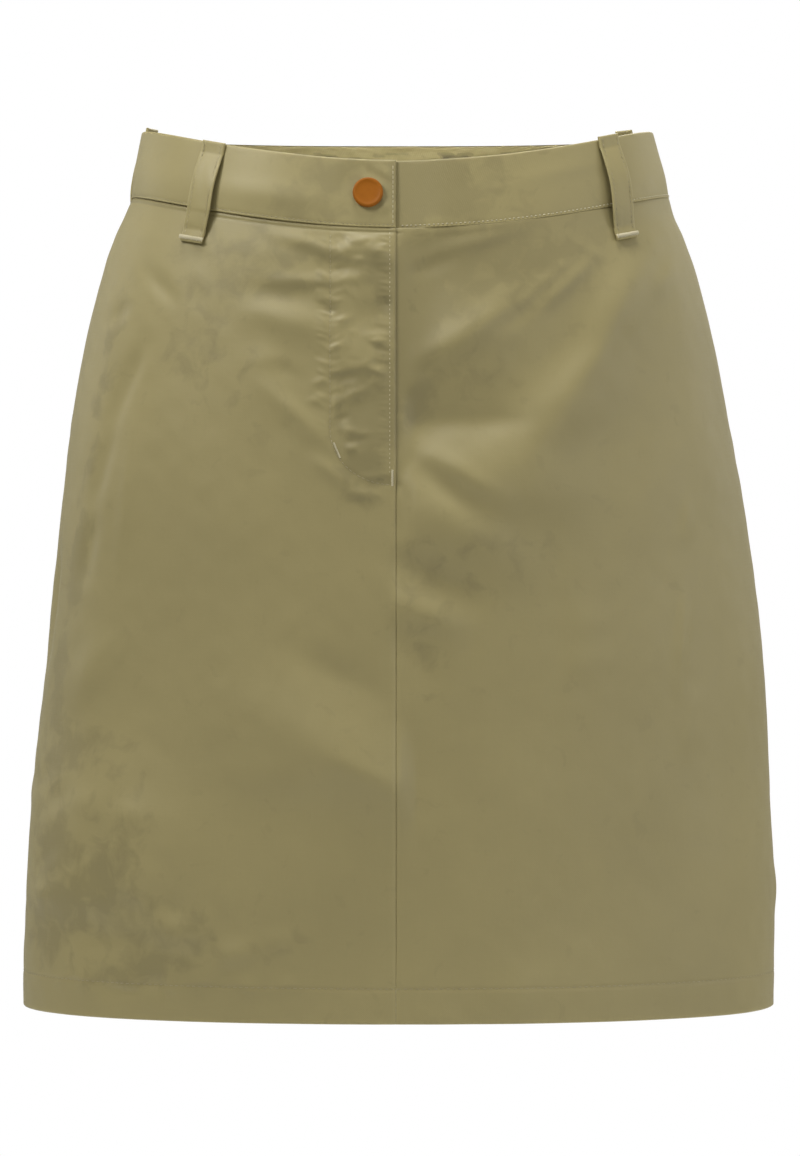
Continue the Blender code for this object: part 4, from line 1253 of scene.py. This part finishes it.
def sew(thread, bright):
    """All the skirt's and the band's rows of stitches, and the fly's two bars."""
    x, z = fly_line()
    stitched_line("fly_stitches", x, z, thread, THREAD * 0.8)
    edge_z = np.linspace(EDGE_STITCH_TOP, FLY_END + 3 * MM, 60)
    stitched_line("fly_edge_stitches", np.full(60, EDGE_STITCH_X), edge_z, bright,
                  pitch=CLOSE_PITCH, length=SHORT_STITCH)
    bar("fly_bar_side", -35.4 * MM, -139.5 * MM, -32.2 * MM, -147.2 * MM, 1.1 * MM, bright)
    bar("fly_bar_foot", -4.1 * MM, -154.0 * MM, -4.1 * MM, -162.2 * MM, 1.3 * MM, bright)
    sew_band(thread, bright)
    sew_band_end(bright)
    sew_hem(thread)


# ---------------------------------------------------------------- button

def add_button(finish):
    """A turned button on the band, with a rolled rim round a shallow dished face."""
    middle_level = BAND_HEIGHT / 2
    around = around_at(BAND_SECTIONS, middle_level, BUTTON_X)
    level = np.array([BUTTON_HEIGHT + FRONT_DIP])
    out = Vector(outward(BAND_SECTIONS, around, level)[0])
    foot = Vector(base(BAND_SECTIONS, around, level)[0][0]) + out * (BAND_PROUD + SEAM_GAP)
    right = Vector((0, 0, 1)).cross(out).normalized()
    up = out.cross(right)
    sides = 72
    points, faces = [foot], []
    for turn in BUTTON_PROFILE[1:-1]:
        for side in range(sides):
            angle = 2 * math.pi * side / sides
            spoke = right * math.cos(angle) + up * math.sin(angle)
            points.append(foot + spoke * turn.radius * BUTTON_RADIUS
                          + out * turn.height * BUTTON_THICKNESS)
    points.append(foot + out * BUTTON_PROFILE[-1].height * BUTTON_THICKNESS)
    last_ring = 1 + (len(BUTTON_PROFILE) - 3) * sides
    for side in range(sides):
        beyond = (side + 1) % sides
        faces.append((0, 1 + beyond, 1 + side))
        for ring in range(len(BUTTON_PROFILE) - 3):
            low = 1 + ring * sides
            faces.append((low + side, low + beyond, low + sides + beyond, low + sides + side))
        faces.append((last_ring + side, last_ring + beyond, len(points) - 1))
    piece = show("button_turned", np.array(points), faces, finish)
    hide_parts("button")


# ---------------------------------------------------------------- finishes

CLOTH_COLOUR = (0.275, 0.231, 0.0985)
# The band's and the loops' cloth: the skirt's colour painted paler for the brighter light on the
# band.
BAND_LIT_COLOUR = (0.294, 0.247, 0.105)
KNIT_COLOUR = (0.200, 0.172, 0.088)
THREAD_COLOUR = (0.300, 0.258, 0.140)
BRIGHT_THREAD_COLOUR = (0.520, 0.465, 0.300)
ENAMEL_COLOUR = (0.290, 0.092, 0.003)
SHEEN_TINT = (0.95, 0.90, 0.75, 1.0)


def feed(tree, made, inputs):
    """Link a node's inputs that are given as sockets, and set the others."""
    for name, value in inputs.items():
        if isinstance(value, bpy.types.NodeSocket):
            tree.links.new(value, made.inputs[name])
        else:
            made.inputs[name].default_value = value
    return made


def node(tree, kind, inputs=None, **settings):
    """A node with its settings and inputs."""
    made = tree.nodes.new("ShaderNode" + kind)
    for name, value in settings.items():
        setattr(made, name, value)
    return feed(tree, made, inputs or {})


def new_material(name):
    """A material, its nodes and its shader."""
    made = bpy.data.materials.new(name)
    made.use_nodes = True
    tree = made.node_tree
    return made, tree, tree.nodes["Principled BSDF"]


def mapped(tree, source, scale):
    return node(tree, "Mapping", {"Vector": source, "Scale": scale}).outputs["Vector"]


def noise(tree, vector, scale, detail, distortion=0.0):
    made = node(tree, "TexNoise", {"Vector": vector, "Scale": scale, "Detail": detail,
                                   "Distortion": distortion})
    return made.outputs["Fac"]


def bands(tree, vector, direction, scale, distortion=0.0):
    made = node(tree, "TexWave", {"Vector": vector, "Scale": scale, "Distortion": distortion},
                wave_type="BANDS", bands_direction=direction)
    return made.outputs["Fac"]


def combine(tree, operation, first, second):
    made = node(tree, "Math", {0: first, 1: second}, operation=operation)
    return made.outputs[0]


def span(tree, value, low, high, to_low, to_high):
    made = node(tree, "MapRange", {"Value": value, "From Min": low, "From Max": high,
                                   "To Min": to_low, "To Max": to_high})
    return made.outputs["Result"]


def blend(tree, factor, first, second):
    made = node(tree, "Mix", {"Factor": factor, 6: first, 7: second}, data_type="RGBA")
    return made.outputs[2]


def relief(tree, height, strength, distance, **under):
    """A bump by a height, on top of another one's normal where that is given."""
    inputs = {"Height": height, "Strength": strength, "Distance": distance, **under}
    return node(tree, "Bump", inputs).outputs["Normal"]


def shade(colour, factor):
    """A darker or paler shade of a colour."""
    return tuple(channel * factor for channel in colour) + (1.0,)


def woven(name, colour):
    """Fine twill with a soft sheen, uneven yarns and faint large patches; paler at worn edges and
    where light is painted on, and darker in patches of painted shade.
    """
    made, tree, shader = new_material(name)
    lay = node(tree, "UVMap", uv_map="lay").outputs["UV"]
    place = node(tree, "TexCoord").outputs["Object"]
    twill = bands(tree, lay, "DIAGONAL", 560.0)
    yarn = bands(tree, lay, "X", 620.0)
    weave = combine(tree, "ADD", combine(tree, "MULTIPLY", twill, 0.65),
                    combine(tree, "MULTIPLY", yarn, 0.35))
    slub = noise(tree, mapped(tree, lay, (1200.0, 70.0, 1.0)), 1.0, 2.0)
    weft = noise(tree, mapped(tree, lay, (60.0, 1300.0, 1.0)), 1.0, 2.0)
    yarns = combine(tree, "MULTIPLY", combine(tree, "ADD", slub, weft), 0.5)
    patches = noise(tree, place, 9.0, 3.0, 0.4)
    mottle = span(tree, noise(tree, place, 30.0, 3.0, 0.8), 0.42, 0.58, 0.0, 1.0)
    tone = combine(tree, "ADD", span(tree, patches, 0.3, 0.7, 0.15, 0.75),
                   combine(tree, "MULTIPLY", mottle, 0.12))
    tone = combine(tree, "ADD", tone, span(tree, yarns, 0.3, 0.7, -0.12, 0.12))
    cloth = blend(tree, tone, shade(colour, 0.93), shade(colour, 1.07))
    # Paler where worn at the edges, and painted light on the band's inner back face.
    wear = node(tree, "Attribute", attribute_name="wear").outputs["Fac"]
    worn_and_lit = combine(tree, "MULTIPLY", wear, span(tree, yarns, 0.35, 0.65, 0.1, 0.5))
    cloth = blend(tree, worn_and_lit, cloth, shade(colour, 1.30))
    # Painted shade: darker patches with ragged edges where the cloth lies in shade.
    nap = node(tree, "Attribute", attribute_name="nap").outputs["Fac"]
    ragged = noise(tree, place, 85.0, 5.0, 0.5)
    shade_mask = combine(tree, "ADD", nap, span(tree, ragged, 0.3, 0.7, -0.45, 0.45))
    cloth = blend(tree, span(tree, shade_mask, 0.30, 0.80, 0.0, 1.0), cloth, shade(colour, 0.84))
    # Much darker painted shade in the crumples of the inner back band.
    cloth = blend(tree, span(tree, shade_mask, 1.60, 2.30, 0.0, 1.0), cloth, shade(colour, 0.50))
    soft = relief(tree, noise(tree, place, 150.0, 3.0), 0.20, 0.5 * MM)
    fine = relief(tree, combine(tree, "ADD", weave, yarns), 0.35, 0.06 * MM, Normal=soft)
    feed(tree, shader, {"Base Color": cloth, "Roughness": span(tree, yarns, 0.3, 0.7, 0.46, 0.58),
                        "Specular IOR Level": 0.42, "Sheen Weight": 0.10, "Sheen Roughness": 0.40,
                        "Sheen Tint": SHEEN_TINT, "Normal": fine})
    return made


def knitted(name, colour):
    """Matt jersey: fine ribs of stitches down the cloth."""
    made, tree, shader = new_material(name)
    lay = node(tree, "UVMap", uv_map="lay").outputs["UV"]
    place = node(tree, "TexCoord").outputs["Object"]
    wales = bands(tree, lay, "X", 290.0)
    courses = bands(tree, lay, "Y", 380.0, 0.6)
    stitches = combine(tree, "MULTIPLY", wales, span(tree, courses, 0.0, 1.0, 0.4, 1.0))
    patches = noise(tree, place, 14.0, 3.0)
    tone = combine(tree, "ADD", span(tree, patches, 0.3, 0.7, 0.2, 0.7),
                   combine(tree, "MULTIPLY", stitches, 0.3))
    cloth = blend(tree, tone, shade(colour, 0.84), shade(colour, 1.10))
    wear = node(tree, "Attribute", attribute_name="wear").outputs["Fac"]
    cloth = blend(tree, combine(tree, "MULTIPLY", wear, 0.4), cloth, shade(colour, 1.35))
    rough = span(tree, stitches, 0.0, 1.0, 0.92, 0.80)
    feed(tree, shader, {"Base Color": cloth, "Roughness": rough, "Specular IOR Level": 0.2,
                        "Sheen Weight": 0.25, "Sheen Roughness": 0.6,
                        "Normal": relief(tree, stitches, 0.5, 0.25 * MM)})
    return made


def spun(name, colour):
    """Sewing thread: twisted and slightly glossy."""
    made, tree, shader = new_material(name)
    place = node(tree, "TexCoord").outputs["Object"]
    twist = bands(tree, place, "DIAGONAL", 1100.0, 1.0)
    cloth = blend(tree, twist, shade(colour, 0.82), shade(colour, 1.12))
    feed(tree, shader, {"Base Color": cloth, "Roughness": span(tree, twist, 0.0, 1.0, 0.60, 0.48),
                        "Sheen Weight": 0.15, "Normal": relief(tree, twist, 0.4, 0.05 * MM)})
    return made


def enamelled(name, colour):
    """Satin enamel with faint speckle and a faint cloud in its tone."""
    made, tree, shader = new_material(name)
    place = node(tree, "TexCoord").outputs["Object"]
    speckle = noise(tree, place, 900.0, 4.0)
    cloud = noise(tree, place, 160.0, 3.0)
    tone = combine(tree, "ADD", span(tree, cloud, 0.3, 0.7, 0.1, 0.7),
                   span(tree, speckle, 0.3, 0.7, -0.1, 0.1))
    coat = blend(tree, tone, shade(colour, 0.90), shade(colour, 1.08))
    feed(tree, shader, {"Base Color": coat, "Roughness": span(tree, cloud, 0.3, 0.7, 0.50, 0.60),
                        "Specular IOR Level": 0.18,
                        "Normal": relief(tree, speckle, 0.12, 0.08 * MM)})
    return made


def painted_floor():
    """Pale paint with a faint cloud in it."""
    made, tree, shader = new_material("floor_paint")
    place = node(tree, "TexCoord").outputs["Object"]
    cloud = noise(tree, place, 3.0, 3.0)
    coat = blend(tree, cloud, (0.80, 0.80, 0.79, 1.0), (0.84, 0.84, 0.83, 1.0))
    feed(tree, shader, {"Base Color": coat, "Roughness": 0.7})
    return made


# ---------------------------------------------------------------- stage

CAMERA_DISTANCE = 2.6
VIEW_MIDDLE_Z = -0.2117      # what the frame's middle looks at
VIEW_HEIGHT = 0.64736        # what the frame's height covers at the garment's middle
SENSOR = 36.0
FLOOR_Z = -0.75
FLOOR_RADIUS = 1.62
WORLD_LIGHT = 0.19

# Disk lamps: their place, diameter and target in metres, power in watts, spread in degrees.
Lamp = namedtuple("Lamp", "name place size power target spread",
                  defaults=((0.0, 0.0, VIEW_MIDDLE_Z), 180.0))
LAMPS = (
    Lamp("key", (-1.2, -1.0, 1.3), 0.8, 21.5),
    Lamp("near_left", (-0.5, -0.4, 0.5), 0.25, 1.3),
    Lamp("near_right", (0.6, -0.3, 0.4), 0.25, 0.3),
    Lamp("overhead", (0.0, -0.3, 2.6), 1.0, 50.0),
    Lamp("fill", (1.7, -2.2, 0.2), 1.2, 10.0),
    Lamp("right", (2.4, -0.7, 0.2), 1.2, 13.0),
    Lamp("back_left", (2.0, 1.0, 0.5), 1.2, 7.0),
    Lamp("back_right", (-2.0, 1.0, 0.5), 1.2, 6.0),
    Lamp("back", (0.6, 2.2, 1.6), 1.4, 30.0),
    Lamp("inside", (0.0, -0.55, 0.42), 0.06, 0.05, (0.0, 0.1, 0.03), 22.0),
)


def add_camera():
    """A camera at the photograph's angle and framing."""
    camera = bpy.data.cameras.new("camera")
    camera.sensor_fit = "AUTO"
    camera.sensor_width = SENSOR
    camera.lens = SENSOR * CAMERA_DISTANCE / VIEW_HEIGHT
    camera.clip_start = 0.05
    camera.clip_end = 50.0
    item = bpy.data.objects.new("camera", camera)
    item.location = (0.0, -CAMERA_DISTANCE, VIEW_MIDDLE_Z)
    item.rotation_euler = (math.pi / 2, 0.0, 0.0)
    bpy.context.scene.collection.objects.link(item)
    bpy.context.scene.camera = item


def add_lamps():
    """Soft lamps aimed at the garment, and a narrow one on the inner face of its back band."""
    for lamp in LAMPS:
        light = bpy.data.lights.new(lamp.name, "AREA")
        light.shape = "DISK"
        light.size = lamp.size
        light.energy = lamp.power
        light.spread = math.radians(lamp.spread)
        item = bpy.data.objects.new(lamp.name, light)
        item.location = lamp.place
        aim = Vector(lamp.target) - item.location
        item.rotation_euler = aim.to_track_quat("-Z", "Y").to_euler()
        bpy.context.scene.collection.objects.link(item)


def add_world():
    """White behind the object, and a softer white that lights it."""
    world = bpy.data.worlds.new("studio")
    world.use_nodes = True
    tree = world.node_tree
    tree.nodes.clear()
    rays = node(tree, "LightPath")
    strength = node(tree, "MapRange", {"Value": rays.outputs["Is Camera Ray"],
                                       "To Min": WORLD_LIGHT, "To Max": 1.0})
    sky = node(tree, "Background", {"Strength": strength.outputs["Result"]})
    sky.inputs["Color"].default_value = (1.0, 1.0, 1.0, 1.0)
    output = node(tree, "OutputWorld")
    tree.links.new(sky.outputs["Background"], output.inputs["Surface"])
    bpy.context.scene.world = world


def add_floor():
    """A pale round floor well below the garment."""
    sides = 96
    rings = 8
    points, faces = [(0.0, 0.0, FLOOR_Z)], []
    for ring in range(1, rings + 1):
        for side in range(sides):
            angle = 2 * math.pi * side / sides
            radius = FLOOR_RADIUS * ring / rings
            points.append((radius * math.cos(angle), radius * math.sin(angle), FLOOR_Z))
    for side in range(sides):
        beyond = (side + 1) % sides
        faces.append((0, 1 + side, 1 + beyond))
        for ring in range(rings - 1):
            low = 1 + ring * sides
            faces.append((low + side, low + sides + side, low + sides + beyond, low + beyond))
    mesh = bpy.data.meshes.new("floor")
    mesh.from_pydata(points, [], faces)
    mesh.materials.append(painted_floor())
    item = bpy.data.objects.new("floor", mesh)
    bpy.context.scene.collection.objects.link(item)


def set_colours():
    """Plain colours, with no look laid over them."""
    settings = bpy.context.scene.view_settings
    settings.view_transform = "Standard"
    settings.look = "None"
    settings.exposure = 0.0
    settings.gamma = 1.0


def corners(box):
    """A box's corners as plain numbers."""
    return [[float(value) for value in corner] for corner in box]


def main():
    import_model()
    add_camera()
    cloth = woven("skirt_twill", CLOTH_COLOUR)
    lit_band = woven("band_twill_painted_light", BAND_LIT_COLOUR)
    knit = knitted("shorts_jersey", KNIT_COLOUR)
    thread = spun("thread", THREAD_COLOUR)
    bright = spun("bright_thread", BRIGHT_THREAD_COLOUR)
    add_panels(cloth)
    add_waistband(lit_band)
    for loop in LOOPS:
        add_loop(loop, lit_band, thread, bright)
    for side, hand in ((-1, "right"), (1, "left")):
        add_shorts(side, False, "shorts_front_" + hand, knit, thread)
        add_shorts(side, True, "shorts_back_" + hand, knit, thread)
    add_button(enamelled("button_coat", ENAMEL_COLOUR))
    sew(thread, bright)
    add_lamps()
    add_world()
    add_floor()
    set_colours()


main()
